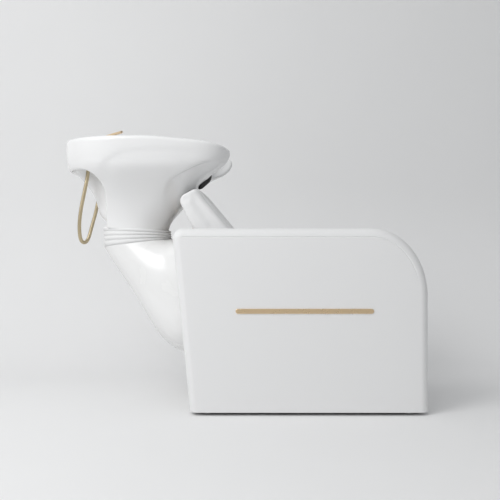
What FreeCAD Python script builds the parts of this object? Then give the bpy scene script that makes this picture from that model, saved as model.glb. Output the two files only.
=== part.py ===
import FreeCAD
import Part
import math
import os

# Salon shampoo chair with a tilting ceramic bowl. Millimetres, +Z up, +X towards the client's feet,
# origin on the floor at the middle of the outline. The client's right-hand side is -Y.

Vec = FreeCAD.Vector

# Arms
ARM_TOP_LENGTH = 845.0
ARM_BASE_LENGTH = 785.0
ARM_HEIGHT = 611.0
ARM_THICKNESS = 92.0
ARM_NOSE_RUN = 185.0
ARM_NOSE_DROP = 222.0
ARM_CORNER = 34.0
ARM_EDGE = 30.0
ARM_FOOT_EDGE = 8.0
ARM_PADDING = 24.0
ARM_BOLT_FLOOR_INSET = 80.0
ARM_BOLT_SEAT_INSET = 60.0
CORE_RAIL = 60.0
OVERALL_WIDTH = 640.0
COVER = 3.0

# Trim strips let into the outer face of each arm
TRIM_LENGTH = 450.0
TRIM_HEIGHT = 16.0
TRIM_PROUD = 3.0
TRIM_INSET = 2.0
TRIM_SETBACK = 406.0
TRIM_LEVEL = 341.0
TRIM_STUD = 2.5
TRIM_STUD_DEPTH = 12.0
TRIM_STUD_INSET = 60.0

# Feet
FOOT_HEIGHT = 11.0
FOOT_RADIUS = 13.0
FOOT_INSET = 58.0
FOOT_SCREW = 2.4
FOOT_SCREW_HEAD = 5.5
FOOT_SCREW_HEAD_HEIGHT = 3.0
FOOT_SCREW_RECESS = 2.0
FOOT_SCREW_DEPTH = 26.0

# Steel frame
TUBE = 30.0
TUBE_WALL = 2.0
FRAME_LIFT = 28.0
RAIL_REAR_INSET = 48.0
RAIL_FRONT_INSET = 52.0
UPRIGHT_INSET = 32.0
BACK_POST_SPACING = 220.0

# Seat
SEAT_HEIGHT = 446.0
SEAT_CUSHION = 112.0
SEAT_CROWN = 12.0
SEAT_NOSE = 42.0
SEAT_EDGE = 18.0
SEAT_FRONT_SETBACK = 22.0
SEAT_SIDE_GAP = 4.0
BOARD = 18.0
PANEL = 12.0
PANEL_LIFT = 19.0
REAR_PANEL_HEIGHT = 153.0
PANEL_SIDE_GAP = 2.0

# Backrest, measured along its front face from the height of the arms
BACK_SETBACK = 206.0
BACK_ANGLE = 50.0
BACK_RISE = 149.0
BACK_THICKNESS = 105.0
BACK_TOP_THICKNESS = 78.0
BACK_TOP_RISE = 11.0
BACK_KINK = 94.0
BACK_CROWN = 9.0
BACK_ROUND = 24.0
BACK_EDGE = 18.0
BACK_SIDE_GAP = 5.0
BACK_BOARD_INSET = 25.0
BOWL_CLEARANCE = 12.0

# Ceramic bowl
BOWL_OVERHANG = 413.0
RIM_RISE = 315.0
NECK_SETBACK = 260.0
RIM_FALL_START = 34.0
RIM_FALL_RADIUS = 890.0
RIM_ROUND = 12.0
EDGE_ROUND = 6.0
CERAMIC = 12.0
DECK_DROP = 20.0
DECK = 16.0
DECK_LIP = 42.0
DECK_FRONT = 112.0
POCKET_GAP = 5.0
APRON = 106.0
ARCH_REACH = 92.0
ARCH_RUN = 89.0
ARCH_DROP = 82.0
ARCH_FOOT = 9.0
BASIN_DEPTH = 204.0
NOTCH_RADIUS = 92.0
NOTCH_DEPTH = 114.0
NOTCH_FLARE_START = 222.0
NOTCH_REAR = 189.0
NECK_REAR_DEPTH = 304.0
NECK_FRONT_DEPTH = 337.0
NECK_REAR_REACH = 126.0
NECK_FRONT_REACH = 129.0
SECTION_POINTS = 24
REAR_BLUNTNESS = 2.2

# Sections of the bowl: depth below the rim, reach behind and before the neck's axis, half width, bluntness
HULL_SECTIONS = (
    (-30.0, 260.0, 358.0, 252.0, 5.0),
    (10.0, 260.0, 358.0, 252.0, 5.0),
    (45.0, 259.0, 356.0, 251.0, 5.0),
    (78.0, 255.0, 343.0, 247.0, 5.0),
    (116.0, 238.0, 278.0, 228.0, 4.8),
    (158.0, 205.0, 222.0, 192.0, 4.2),
    (206.0, 175.0, 186.0, 158.0, 3.4),
    (250.0, 155.0, 150.0, 137.0, 2.6),
    (290.0, 140.0, 121.0, 124.0, 2.1),
    (345.0, 130.0, 117.0, 118.0, 2.0),
    (400.0, 130.0, 117.0, 118.0, 2.0),
)
BASIN_SECTIONS = (
    (-30.0, 125.0, 310.0, 214.0, 4.0),
    (20.0, 125.0, 308.0, 212.0, 4.0),
    (60.0, 122.0, 290.0, 206.0, 3.8),
    (100.0, 118.0, 255.0, 192.0, 3.4),
    (140.0, 112.0, 205.0, 165.0, 2.8),
    (175.0, 98.0, 150.0, 125.0, 2.3),
    (196.0, 72.0, 95.0, 80.0, 2.0),
    (BASIN_DEPTH, 50.0, 55.0, 52.0, 2.0),
)
KEEL_SECTIONS = (
    (-15.0, 285.0, 60.0, 110.0, 2.0),
    (30.0, 285.0, 60.0, 110.0, 2.0),
    (60.0, 282.0, 60.0, 110.0, 2.0),
    (80.0, 264.0, 60.0, 110.0, 2.0),
    (99.0, 234.0, 60.0, 109.0, 2.0),
    (125.0, 207.0, 60.0, 108.0, 2.0),
    (159.0, 178.0, 60.0, 106.0, 2.0),
    (207.0, 152.0, 60.0, 104.0, 2.0),
    (266.0, 130.0, 60.0, 102.0, 2.0),
    (320.0, 124.0, 60.0, 100.0, 2.0),
    (400.0, 124.0, 60.0, 100.0, 2.0),
)

# The notch's flare and the neck rest's section, as reach before the flare's start and radius beyond the notch
FLARE_SECTION = (
    (0.0, 0.0),
    (18.0, 2.5),
    (30.0, 7.0),
    (40.0, 14.0),
    (53.0, 24.0),
    (78.0, 38.0),
    (126.0, 56.0),
    (160.0, 64.0),
)
REST_SECTION = (
    (-12.0, -3.0),
    (-4.0, -11.0),
    (12.0, -12.0),
    (28.0, -10.0),
    (40.0, -6.0),
    (48.0, 1.0),
    (47.0, 10.0),
    (42.0, 20.0),
    (33.0, 29.0),
    (20.0, 40.0),
    (8.0, 47.0),
    (0.0, 45.0),
    (4.0, 30.0),
    (14.0, 14.0),
    (6.0, 7.0),
    (-6.0, 5.0),
)
REST_END_DROP = 20.0

# Support shell and collar
SHELL_WALL = 5.0
COLLAR_RADIUS = 123.0
COLLAR_DROP = 45.0
COLLAR_TILT = 6.5
COLLAR_BORE = 100.0
COLLAR_FLANGE = 8.0
SHELL_END_WIDTH = 424.0
SHELL_TOP_GAP = 22.0
# How far along each way a section's low and high ends lie, its share of the widening, and its bluntness
SHELL_SECTIONS = (
    (0.226, 0.332, 0.25, 0.28, 2.3),
    (0.469, 0.695, 0.52, 0.62, 2.8),
    (0.682, 0.932, 0.76, 0.87, 3.4),
    (0.798, 0.985, 0.87, 0.95, 3.7),
    (0.906, 0.999, 0.95, 0.99, 3.9),
)
SHELL_END_BLUNTNESS = 4.0

# Bellows between shell and bowl
BELLOWS_RIBS = 4
BELLOWS_LOW_RADIUS = 125.0
BELLOWS_HIGH_RADIUS = 134.0
BELLOWS_FOLD = 11.0
BELLOWS_WALL = 2.5
BELLOWS_GAP = 0.5

# Tilt hinge
PIVOT_REACH = 69.0
PIVOT_DROP = 33.0
PIN_RADIUS = 7.0
PIN_HEAD = 10.5
PIN_HEAD_THICKNESS = 4.0
RUNNING_GAP = 0.05
EAR_INNER = 39.0
EAR = 6.0
EAR_RADIUS = 16.0
LUG = 6.0
LUG_RADIUS = 15.0
BUSH_WALL = 2.5
BUSH_FLANGE = 2.6
BUSH_FLANGE_RADIUS = 13.0
BRACKET_PLATE = 6.0
BRACKET_LENGTH = 84.0
BRACKET_WIDTH = 124.0
BRACKET_DROP = 50.0
TILT_PLATE = 8.0
TILT_PLATE_DEPTH = 232.0
TILT_PLATE_WIDTH = 170.0
TILT_PLATE_REAR = 56.0
TILT_PLATE_FRONT = 86.0
TILT_BOLT_REAR = 41.0
TILT_BOLT_FRONT = 64.0
TILT_BOLT_SPACING = 136.0
TILT_BORE = 40.0
BOSS_RADIUS = 14.0
BOSS_HEIGHT = 66.0
BOLT = 4.0
BOLT_HEAD = 6.5
BOLT_HEAD_HEIGHT = 5.0
BOLT_GAP = 0.2
BOLT_GRIP = 18.0

# Column
COLUMN_FOOT_REACH = 405.0
COLUMN_DEPTH = 50.0
COLUMN_WIDTH = 80.0
COLUMN_WALL = 3.0
COLUMN_PLATE = 8.0
COLUMN_FLANGE_LENGTH = 150.0
COLUMN_FLANGE_WIDTH = 130.0
COLUMN_BOLT_SPACING = 90.0

# Waste
DRAIN_BORE = 17.0
DRAIN_SHANK = 21.0
DRAIN_FLANGE_RADIUS = 33.0
DRAIN_FLANGE = 3.0
DRAIN_SHANK_LENGTH = 72.0
DRAIN_NUT_RADIUS = 34.0
DRAIN_NUT_HEIGHT = 9.0
GASKET = 2.0
STRAINER_RADIUS = 29.0
STRAINER_THICKNESS = 2.0
STRAINER_CUP_DEPTH = 14.0
STRAINER_HOLE = 2.2
STRAINER_KNOB = 4.0
STRAINER_KNOB_HEIGHT = 9.0
WASTE_PIPE = 20.0
WASTE_WALL = 3.0
TAIL_SOCKET = 12.0
TAIL_LENGTH = 66.0
PIPE_LEVEL = 95.0
PIPE_BEND = 40.0
WASTE_SPIGOT = 35.0
WASTE_STANDOFF = 45.0
PIPE_FLANGE = 3.0
PIPE_FLANGE_MARGIN = 9.0

# Water inlets and their hoses
INLET_RADIUS = 10.4
INLET_BORE = 6.5
INLET_BEND = 26.0
INLET_SPIGOT = 22.0
INLET_SPACING = 188.0
FEED_RADIUS = 6.0
FEED_BORE = 4.0

# Mixer tap
MIXER_REACH = 188.0
MIXER_RADIUS = 23.0
MIXER_FLANGE_RADIUS = 27.0
MIXER_FLANGE = 4.0
MIXER_HEIGHT = 17.0
MIXER_SHANK = 16.0
MIXER_SHANK_LENGTH = 38.0
MIXER_NUT_RADIUS = 26.0
MIXER_NUT = 9.0
CARTRIDGE_RADIUS = 17.5
CARTRIDGE_HEIGHT = 16.0
CARTRIDGE_STEM = 5.0
CARTRIDGE_STEM_HEIGHT = 5.0
CAP_HEIGHT = 19.0
CAP_GAP = 0.4
LEVER_REACH = 131.0
LEVER_ANGLE = 16.5
LEVER_ROOT = 10.0
LEVER_THICKNESS = 7.0
LEVER_ROOT_WIDTH = 11.0
LEVER_WIDTH = 18.0
LEVER_PIN = 2.5
LEVER_EYE = 6.0
LEVER_SIDE_GAP = 0.4

# Hand shower in its deck socket
SHOWER_REACH = 162.0
SHOWER_OFFSET = 112.0
NIPPLE_REACH = 158.0
SOCKET_FLANGE_RADIUS = 21.0
SOCKET_FLANGE = 4.0
SOCKET_RADIUS = 14.0
SOCKET_WALL = 2.0
SOCKET_LENGTH = 36.0
SHOWER_SEAT_GAP = 0.5
SHOWER_SEAT_DEPTH = 18.0
SHOWER_RADIUS = 14.5
SHOWER_HEIGHT = 32.0
SHOWER_HEAD_RADIUS = 26.0
SHOWER_HEAD_LENGTH = 30.0
SHOWER_HEAD_TILT = 30.0
SPRAY_FACE = 3.0
SPRAY_FACE_MARGIN = 2.5
NIPPLE_RADIUS = 11.0
NIPPLE_LENGTH = 28.0
HOSE_RADIUS = 6.0

# Small clearances
FIT = 0.3
HOLE_GAP = 0.05

# Places worked out from the sizes
RIM_HEIGHT = ARM_HEIGHT + RIM_RISE
BACK_TOP = ARM_HEIGHT + BACK_RISE
COLLAR_LEVEL = ARM_HEIGHT - COLLAR_DROP
PIVOT_LEVEL = ARM_HEIGHT - PIVOT_DROP
HALF_LENGTH = (ARM_TOP_LENGTH + BOWL_OVERHANG) / 2
X_FRONT = HALF_LENGTH
X_REAR = -HALF_LENGTH
X_ARM_TOP = X_FRONT - ARM_TOP_LENGTH
X_ARM_FOOT = X_FRONT - ARM_BASE_LENGTH
X_NECK = X_REAR + NECK_SETBACK
ARM_OUT = OVERALL_WIDTH / 2 - TRIM_PROUD
ARM_IN = ARM_OUT - ARM_THICKNESS
ARM_MID = (ARM_OUT + ARM_IN) / 2
X_RAIL_REAR = X_ARM_FOOT + RAIL_REAR_INSET
X_RAIL_FRONT = X_FRONT - RAIL_FRONT_INSET
Y_RAIL = ARM_IN - FIT - TUBE / 2
Z_FLOOR_RAIL = FRAME_LIFT + TUBE / 2
Z_SEAT_BOARD = SEAT_HEIGHT - SEAT_CUSHION
Z_SEAT_RAIL = Z_SEAT_BOARD - BOARD - TUBE / 2
Z_DECK = RIM_HEIGHT - DECK_DROP
Z_DECK_UNDER = Z_DECK - DECK
Z_BASIN = RIM_HEIGHT - BASIN_DEPTH
Z_APRON = RIM_HEIGHT - APRON
X_PIVOT = X_NECK + PIVOT_REACH
X_COLUMN_FOOT = X_PIVOT + COLUMN_FOOT_REACH
Z_COLUMN_FOOT = FRAME_LIFT + TUBE
Z_COLUMN_TOP = PIVOT_LEVEL - BRACKET_DROP
X_SHELL_END = X_RAIL_REAR - PANEL
Z_TILT_PLATE = RIM_HEIGHT - TILT_PLATE_DEPTH
X_MIXER = X_NECK - MIXER_REACH
X_SHOWER = X_NECK - SHOWER_REACH
X_NIPPLE = X_NECK - NIPPLE_REACH
BIG = 2000.0

# The shower hose hangs in a loop behind the bowl, from the nipple under the deck to the hand shower:
# reach from the neck's axis, side, and height from the rim
HOSE_ROUTE = (
    (-158.0, -112.0, -64.3),
    (-158.0, -112.0, -111.0),
    (-174.0, -99.0, -174.0),
    (-191.0, -84.0, -236.0),
    (-203.0, -66.0, -298.0),
    (-205.0, -34.0, -352.0),
    (-192.0, 20.0, -354.0),
    (-182.0, 48.0, -298.0),
    (-167.0, 66.0, -230.0),
    (-162.0, 88.0, -160.0),
    (-162.0, 112.0, -90.0),
    (-162.0, 112.0, -38.3),
)

# The waste hose runs down inside the shell behind the column: reach from the neck's axis, height above the pipes
WASTE_ROUTE = (
    (0.0, 450.0),
    (19.0, 360.0),
    (74.0, 270.0),
    (151.0, 195.0),
    (236.0, 145.0),
    (278.0, 117.0),
    (306.0, 89.0),
)

# Each water hose, on its own side, runs down inside the keel, the neck and the shell: reach, side, height
FEED_ROUTE = (
    (-188.0, 8.0, 741.0),
    (-176.0, 14.0, 700.0),
    (-135.0, 18.0, 650.0),
    (-103.0, 28.0, 593.0),
    (-72.0, 41.0, 525.0),
    (-56.0, 52.0, 457.0),
    (-29.0, 76.0, 370.0),
    (37.0, 91.0, 273.0),
    (128.0, 94.0, 189.0),
    (214.0, 94.0, 137.0),
    (278.0, 94.0, 113.0),
    (317.0, 94.0, 85.0),
)
ROUTE_RISE = 471.0


def line(a, b):
    return Part.LineSegment(a, b).toShape()


def routed(height):
    """A route's level, moved with the collar: above it by as much, below it in proportion."""
    if height > ROUTE_RISE:
        return COLLAR_LEVEL + height - ROUTE_RISE
    return PIPE_LEVEL + height * (COLLAR_LEVEL - PIPE_LEVEL) / ROUTE_RISE


def closed_polygon(points):
    return Part.makePolygon(list(points) + [points[0]])


def side_prism(profile, y0, y1):
    """A solid with the given (x, z) profile, from y0 to y1."""
    wire = closed_polygon([Vec(x, y0, z) for x, z in profile])
    return Part.Face(wire).extrude(Vec(0, y1 - y0, 0))


def block(x0, x1, y0, y1, z0, z1):
    return Part.makeBox(x1 - x0, y1 - y0, z1 - z0, Vec(x0, y0, z0))


def rod(radius, start, end):
    along = end.sub(start)
    return Part.makeCylinder(radius, along.Length, start, along)


def ring(outer, inner, start, end):
    return rod(outer, start, end).cut(rod(inner, start, end))


def rounded_corner(before, corner, after, radius):
    """The two tangent points and the arc that rounds one corner."""
    back = before.sub(corner).normalize()
    ahead = after.sub(corner).normalize()
    half = back.getAngle(ahead) / 2
    reach = radius / math.tan(half)
    start = corner + back * reach
    end = corner + ahead * reach
    middle = corner + (back + ahead).normalize() * (radius / math.sin(half) - radius)
    return start, Part.Arc(start, middle, end).toShape(), end


def rounded_wire(corners):
    """A closed wire through (point, radius) corners, each rounded unless its radius is 0."""
    count = len(corners)
    pieces = []
    for i, (point, radius) in enumerate(corners):
        if radius == 0:
            pieces.append((point, None, point))
            continue
        pieces.append(rounded_corner(corners[i - 1][0], point, corners[(i + 1) % count][0], radius))
    edges = []
    for i, (start, arc, end) in enumerate(pieces):
        if arc is not None:
            edges.append(arc)
        edges.append(line(end, pieces[(i + 1) % count][0]))
    return Part.Wire(edges)


def rounded_side_prism(corners, y0, y1):
    """A solid with an (x, z, radius) outline, from y0 to y1."""
    wire = rounded_wire([(Vec(x, y0, z), radius) for x, z, radius in corners])
    return Part.Face(wire).extrude(Vec(0, y1 - y0, 0))


def edges_at(shape, test):
    return [edge for edge in shape.Edges if test(edge.BoundBox)]


def mirrored(shape):
    return shape.mirror(Vec(0, 0, 0), Vec(0, 1, 0))


def both_sides(shape):
    return [shape, mirrored(shape)]


def spun(profile, x, y):
    """A solid of revolution about the upright axis at x, y, from (radius, z) points."""
    wire = closed_polygon([Vec(x + radius, y, z) for radius, z in profile])
    return Part.Face(wire).revolve(Vec(x, y, 0), Vec(0, 0, 1), 360)


def smooth_quarter(start, end, first, last):
    """A quarter of an ellipse from start to end, with its first and last directions given."""
    steps = 8
    run = end.sub(start)
    points = []
    for i in range(steps + 1):
        turn = math.pi / 2 * i / steps
        points.append(start + first * (run.dot(first) * math.sin(turn)) + last * (run.dot(last) * (1 - math.cos(turn))))
    curve = Part.BSplineCurve()
    curve.interpolate(points, InitialTangent=first, FinalTangent=last)
    return curve.toShape()


def hose_path(points):
    """Straight runs joined by tangent arcs that are as large as the runs allow, and each arc's radius."""
    share = 0.45
    edges = []
    radii = []
    last = points[0]
    for before, corner, after in zip(points, points[1:], points[2:]):
        back = before.sub(corner)
        ahead = after.sub(corner)
        reach = share * min(back.Length, ahead.Length)
        half = back.getAngle(ahead) / 2
        radius = reach * math.tan(half)
        start, arc, end = rounded_corner(before, corner, after, radius)
        edges += [line(last, start), arc]
        radii.append(radius)
        last = end
    edges.append(line(last, points[-1]))
    return Part.Wire(edges), radii


def hose(name, points, radius, bore=0.0):
    """A round hose along a route, with its radii and its volume against section times length."""
    path, radii = hose_path(points)
    start = points[0]
    along = points[1].sub(start)

    def swept(r):
        circle = Part.Wire([Part.Circle(start, along, r).toShape()])
        return path.makePipeShell([circle], True, False)

    solid = swept(radius)
    expected = math.pi * radius ** 2 * path.Length
    print(name, "length", round(path.Length, 1), "volume ratio", round(solid.Volume / expected, 4))
    print(name, "bend radii", [round(r, 1) for r in radii])
    return solid.cut(swept(bore)) if bore else solid


def tilted_point(x, z, angle, along, up):
    """The (x, z) point that lies along and up from a point, in axes turned by an angle in degrees."""
    turn = math.radians(angle)
    return (
        x + along * math.cos(turn) - up * math.sin(turn),
        z + along * math.sin(turn) + up * math.cos(turn),
    )


def arm_outline(inset, bottom, y):
    """The arm's outline in a plane across Y, drawn in by an inset, down to a bottom level."""
    front = X_FRONT - inset
    top = ARM_HEIGHT - inset
    slope = (X_ARM_TOP - X_ARM_FOOT) / (ARM_HEIGHT - FOOT_HEIGHT)
    lean = inset * math.hypot(1, slope)

    def rear(z):
        return X_ARM_FOOT + slope * (z - FOOT_HEIGHT) + lean

    corner = max(ARM_CORNER - inset, 1.0)
    low_rear = Vec(rear(bottom), y, bottom)
    high_rear = Vec(rear(top), y, top)
    low_front = Vec(front, y, bottom)
    nose_top = Vec(X_FRONT - ARM_NOSE_RUN, y, top)
    nose_end = Vec(front, y, ARM_HEIGHT - ARM_NOSE_DROP)
    start, arc, end = rounded_corner(low_rear, high_rear, nose_top, corner)
    nose = smooth_quarter(nose_top, nose_end, Vec(1, 0, 0), Vec(0, 0, -1))
    return Part.Wire(
        [
            line(low_rear, start),
            arc,
            line(end, nose_top),
            nose,
            line(nose_end, low_front),
            line(low_front, low_rear),
        ]
    )


def arm_bolt_places():
    """(x, z) of the four bolts that hold each arm to the frame."""
    return (
        (X_RAIL_REAR + ARM_BOLT_FLOOR_INSET, Z_FLOOR_RAIL),
        (X_RAIL_FRONT - ARM_BOLT_FLOOR_INSET, Z_FLOOR_RAIL),
        (seat_rear_x() + ARM_BOLT_SEAT_INSET, Z_SEAT_RAIL),
        (X_RAIL_FRONT - ARM_BOLT_FLOOR_INSET, Z_SEAT_RAIL),
    )


def arm_bolt_rods(radius):
    """Rods where the right arm's bolts run, from the rail's inner face into the arm's core."""
    near = -(ARM_IN - FIT - TUBE)
    far = -(ARM_IN + ARM_PADDING + BOLT_GRIP)
    return [rod(radius, Vec(x, near, z), Vec(x, far, z)) for x, z in arm_bolt_places()]


def foot_places():
    return (X_ARM_FOOT + FOOT_INSET, X_FRONT - FOOT_INSET)


def trim_centre():
    return X_FRONT - TRIM_SETBACK


def trim_slot(depth, margin):
    """The strip's rounded outline, sunk by a depth into the right arm's outer face."""
    x = trim_centre()
    half = TRIM_LENGTH / 2 - TRIM_HEIGHT / 2
    y = -(ARM_OUT - depth)
    radius = TRIM_HEIGHT / 2 + margin
    ends = [
        Vec(x - half, y, TRIM_LEVEL - radius),
        Vec(x + half, y, TRIM_LEVEL - radius),
        Vec(x + half, y, TRIM_LEVEL + radius),
        Vec(x - half, y, TRIM_LEVEL + radius),
    ]
    front = Part.Arc(ends[1], Vec(x + half + radius, y, TRIM_LEVEL), ends[2]).toShape()
    rear = Part.Arc(ends[3], Vec(x - half - radius, y, TRIM_LEVEL), ends[0]).toShape()
    wire = Part.Wire([line(ends[0], ends[1]), front, line(ends[2], ends[3]), rear])
    return Part.Face(wire).extrude(Vec(0, -(depth + TRIM_PROUD), 0))


def trim_studs(radius, extra):
    half = TRIM_LENGTH / 2 - TRIM_STUD_INSET
    near = -(ARM_OUT - TRIM_INSET / 2)
    far = near + TRIM_STUD_DEPTH + extra
    places = (trim_centre() - half, trim_centre() + half)
    return [rod(radius, Vec(x, near, TRIM_LEVEL), Vec(x, far, TRIM_LEVEL)) for x in places]


def right_arm_core_envelope(margin):
    outline = arm_outline(ARM_PADDING - margin, FOOT_HEIGHT - ARM_CORNER, 0.0)
    solid = Part.Face(outline).extrude(Vec(0, ARM_THICKNESS - 2 * ARM_PADDING + 2 * margin, 0))
    solid.translate(Vec(0, -(ARM_OUT - ARM_PADDING + margin), 0))
    return solid


def right_arm_form(inset):
    """The arm's softly edged slab, drawn in by an inset."""
    bottom = FOOT_HEIGHT + inset
    outline = arm_outline(inset, bottom, -(ARM_OUT - inset))
    solid = Part.Face(outline).extrude(Vec(0, ARM_THICKNESS - 2 * inset, 0))
    rim = edges_at(solid, lambda box: box.YLength < FIT and box.ZMax > bottom + FIT)
    solid = solid.makeFillet(ARM_EDGE - inset, rim)
    low = edges_at(solid, lambda box: box.ZMax < bottom + FIT)
    return solid.makeFillet(ARM_FOOT_EDGE - inset, low)


def right_arm_openings():
    """What runs through the arm's padding: its core, the bolts and the strip's studs."""
    pieces = [right_arm_core_envelope(0.0)]
    pieces += arm_bolt_rods(BOLT + BOLT_GAP)
    pieces += trim_studs(TRIM_STUD + HOLE_GAP, 1.0)
    return Part.makeCompound(pieces)


def right_arm_cover():
    """Leatherette cover of the arm, with a groove for the strip."""
    solid = right_arm_form(0.0).cut(right_arm_form(COVER))
    return solid.cut(right_arm_openings()).cut(trim_slot(TRIM_INSET, HOLE_GAP))


def right_arm_foam():
    """Foam between the arm's core and its cover."""
    return right_arm_form(COVER + FIT).cut(right_arm_openings())


def right_arm_core():
    """Timber frame of the arm: an outline ring with a middle rail where the seat rail bolts on."""
    floor = block(-BIG, BIG, -BIG, BIG, FOOT_HEIGHT, BIG)
    solid = right_arm_core_envelope(-HOLE_GAP).common(floor)
    y0 = -ARM_OUT
    y1 = -ARM_IN
    x0 = X_ARM_FOOT + ARM_PADDING + CORE_RAIL
    x1 = X_FRONT - ARM_PADDING - CORE_RAIL
    mid_low = Z_SEAT_RAIL - CORE_RAIL / 2
    mid_high = Z_SEAT_RAIL + CORE_RAIL / 2
    top = ARM_HEIGHT - ARM_PADDING - CORE_RAIL
    solid = solid.cut(block(x0, x1, y0, y1, FOOT_HEIGHT + CORE_RAIL, mid_low))
    solid = solid.cut(block(x0, X_FRONT - ARM_NOSE_RUN, y0, y1, mid_high, top))
    solid = solid.cut(Part.makeCompound(arm_bolt_rods(BOLT + HOLE_GAP)))
    screws = [foot_screw_rod(x, FOOT_SCREW + HOLE_GAP) for x in foot_places()]
    return solid.cut(Part.makeCompound(screws))


def right_trim():
    """Metal strip with rounded ends and two studs behind."""
    solid = trim_slot(TRIM_INSET - HOLE_GAP, 0.0)
    face = -(ARM_OUT + TRIM_PROUD)
    outer = edges_at(solid, lambda box: box.YMax < face + FIT / 2)
    solid = solid.makeFillet(TRIM_PROUD / 2, outer)
    for stud in trim_studs(TRIM_STUD, 0.0):
        solid = solid.fuse(stud)
    return solid


def foot_screw_rod(x, radius):
    start = Vec(x, -ARM_MID, FOOT_SCREW_RECESS)
    return rod(radius, start, start + Vec(0, 0, FOOT_HEIGHT - FOOT_SCREW_RECESS + FOOT_SCREW_DEPTH))


def foot(x):
    """Round glide with a rounded lower edge and a recess for its screw."""
    solid = Part.makeCylinder(FOOT_RADIUS, FOOT_HEIGHT, Vec(x, -ARM_MID, 0))
    low = edges_at(solid, lambda box: box.ZMax < FIT)
    solid = solid.makeFillet(FOOT_SCREW_RECESS, low)
    head = FOOT_SCREW_HEAD + FIT
    recess = Part.makeCylinder(head, FOOT_SCREW_RECESS + FOOT_SCREW_HEAD_HEIGHT, Vec(x, -ARM_MID, 0))
    return solid.cut(recess).cut(foot_screw_rod(x, FOOT_SCREW + HOLE_GAP))


def foot_screw(x):
    head = Part.makeCylinder(FOOT_SCREW_HEAD, FOOT_SCREW_HEAD_HEIGHT, Vec(x, -ARM_MID, FOOT_SCREW_RECESS))
    return head.fuse(foot_screw_rod(x, FOOT_SCREW))


def foot_glides():
    solids = []
    for x in foot_places():
        solids += both_sides(foot(x))
    return Part.makeCompound(solids)


def foot_screws():
    solids = []
    for x in foot_places():
        solids += both_sides(foot_screw(x))
    return Part.makeCompound(solids)


def back_point(along, behind):
    """(x, z) of a point on the backrest, along its face from arm height and behind the face."""
    turn = math.radians(BACK_ANGLE)
    x = X_ARM_TOP + BACK_SETBACK - along * math.cos(turn) - behind * math.sin(turn)
    return x, ARM_HEIGHT + along * math.sin(turn) - behind * math.cos(turn)


def back_along(z, behind):
    """How far along the backrest's face a height lies, at a depth behind the face."""
    turn = math.radians(BACK_ANGLE)
    return (z - ARM_HEIGHT + behind * math.cos(turn)) / math.sin(turn)


def board_depth():
    return BACK_THICKNESS + FIT


def post_depth():
    return board_depth() + BOARD + TUBE / 2


def seat_rear_x():
    """The seat's rear end, just before the foot of the back board."""
    x, _ = back_point(back_along(Z_SEAT_BOARD, board_depth()), board_depth())
    return x + SEAT_SIDE_GAP


def soft_section(half, depth, edge, crown, place):
    """A pad's section with a crowned face and round corners; place puts (across, below face) in space."""
    bend = edge * (1 - math.sqrt(0.5))
    left = Part.Arc(place(-half, crown + edge), place(bend - half, crown + bend), place(edge - half, crown))
    face = Part.Arc(place(edge - half, crown), place(0.0, 0.0), place(half - edge, crown))
    right = Part.Arc(place(half - edge, crown), place(half - bend, crown + bend), place(half, crown + edge))
    return Part.Wire(
        [
            line(place(-half, depth), place(-half, crown + edge)),
            left.toShape(),
            face.toShape(),
            right.toShape(),
            line(place(half, crown + edge), place(half, depth)),
            line(place(half, depth), place(-half, depth)),
        ]
    )


def back_form(inset, deepen):
    """The back pad's wedge: crowned face, soft edges, hollowed behind for the bowl, drawn in by an inset."""
    half = ARM_IN - BACK_SIDE_GAP - inset
    foot_level = SEAT_HEIGHT + FIT - deepen
    top = back_along(BACK_TOP, 0.0)
    rear = BACK_THICKNESS - inset
    corners = (
        (*back_point(back_along(foot_level, inset), inset), BACK_ROUND / 2),
        (*back_point(top - inset, inset), BACK_ROUND - inset),
        (*back_point(top + BACK_TOP_RISE - inset, BACK_TOP_THICKNESS - inset), BACK_ROUND - inset),
        (*back_point(BACK_KINK, rear), BACK_ROUND * 4),
        (*back_point(back_along(foot_level, rear), rear), BACK_ROUND / 2),
    )

    def place(across, behind):
        x, z = back_point(-ARM_HEIGHT, behind + inset)
        return Vec(x, across, z)

    turn = math.radians(BACK_ANGLE)
    upward = Vec(-math.cos(turn), 0, math.sin(turn))
    section = soft_section(half, 2 * BACK_THICKNESS, BACK_EDGE - inset, BACK_CROWN, place)
    solid = rounded_side_prism(corners, -half, half).common(Part.Face(section).extrude(upward * BIG))
    return solid.cut(bowl_loft(HULL_SECTIONS, -(BOWL_CLEARANCE + inset)))


def back_cover():
    """Leatherette cover of the backrest, open at its foot."""
    return back_form(0.0, 0.0).cut(back_form(COVER, BACK_ROUND))


def back_foam():
    return back_form(COVER + FIT, 0.0)


def back_board():
    """Plywood board behind the lower part of the backrest."""
    half = ARM_IN - BACK_SIDE_GAP - BACK_BOARD_INSET
    front = board_depth()
    rear = front + BOARD
    low = back_along(Z_SEAT_BOARD + FIT, rear)
    profile = [back_point(low, front), back_point(BACK_KINK, front), back_point(BACK_KINK, rear), back_point(low, rear)]
    return side_prism(profile, -half, half)


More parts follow.
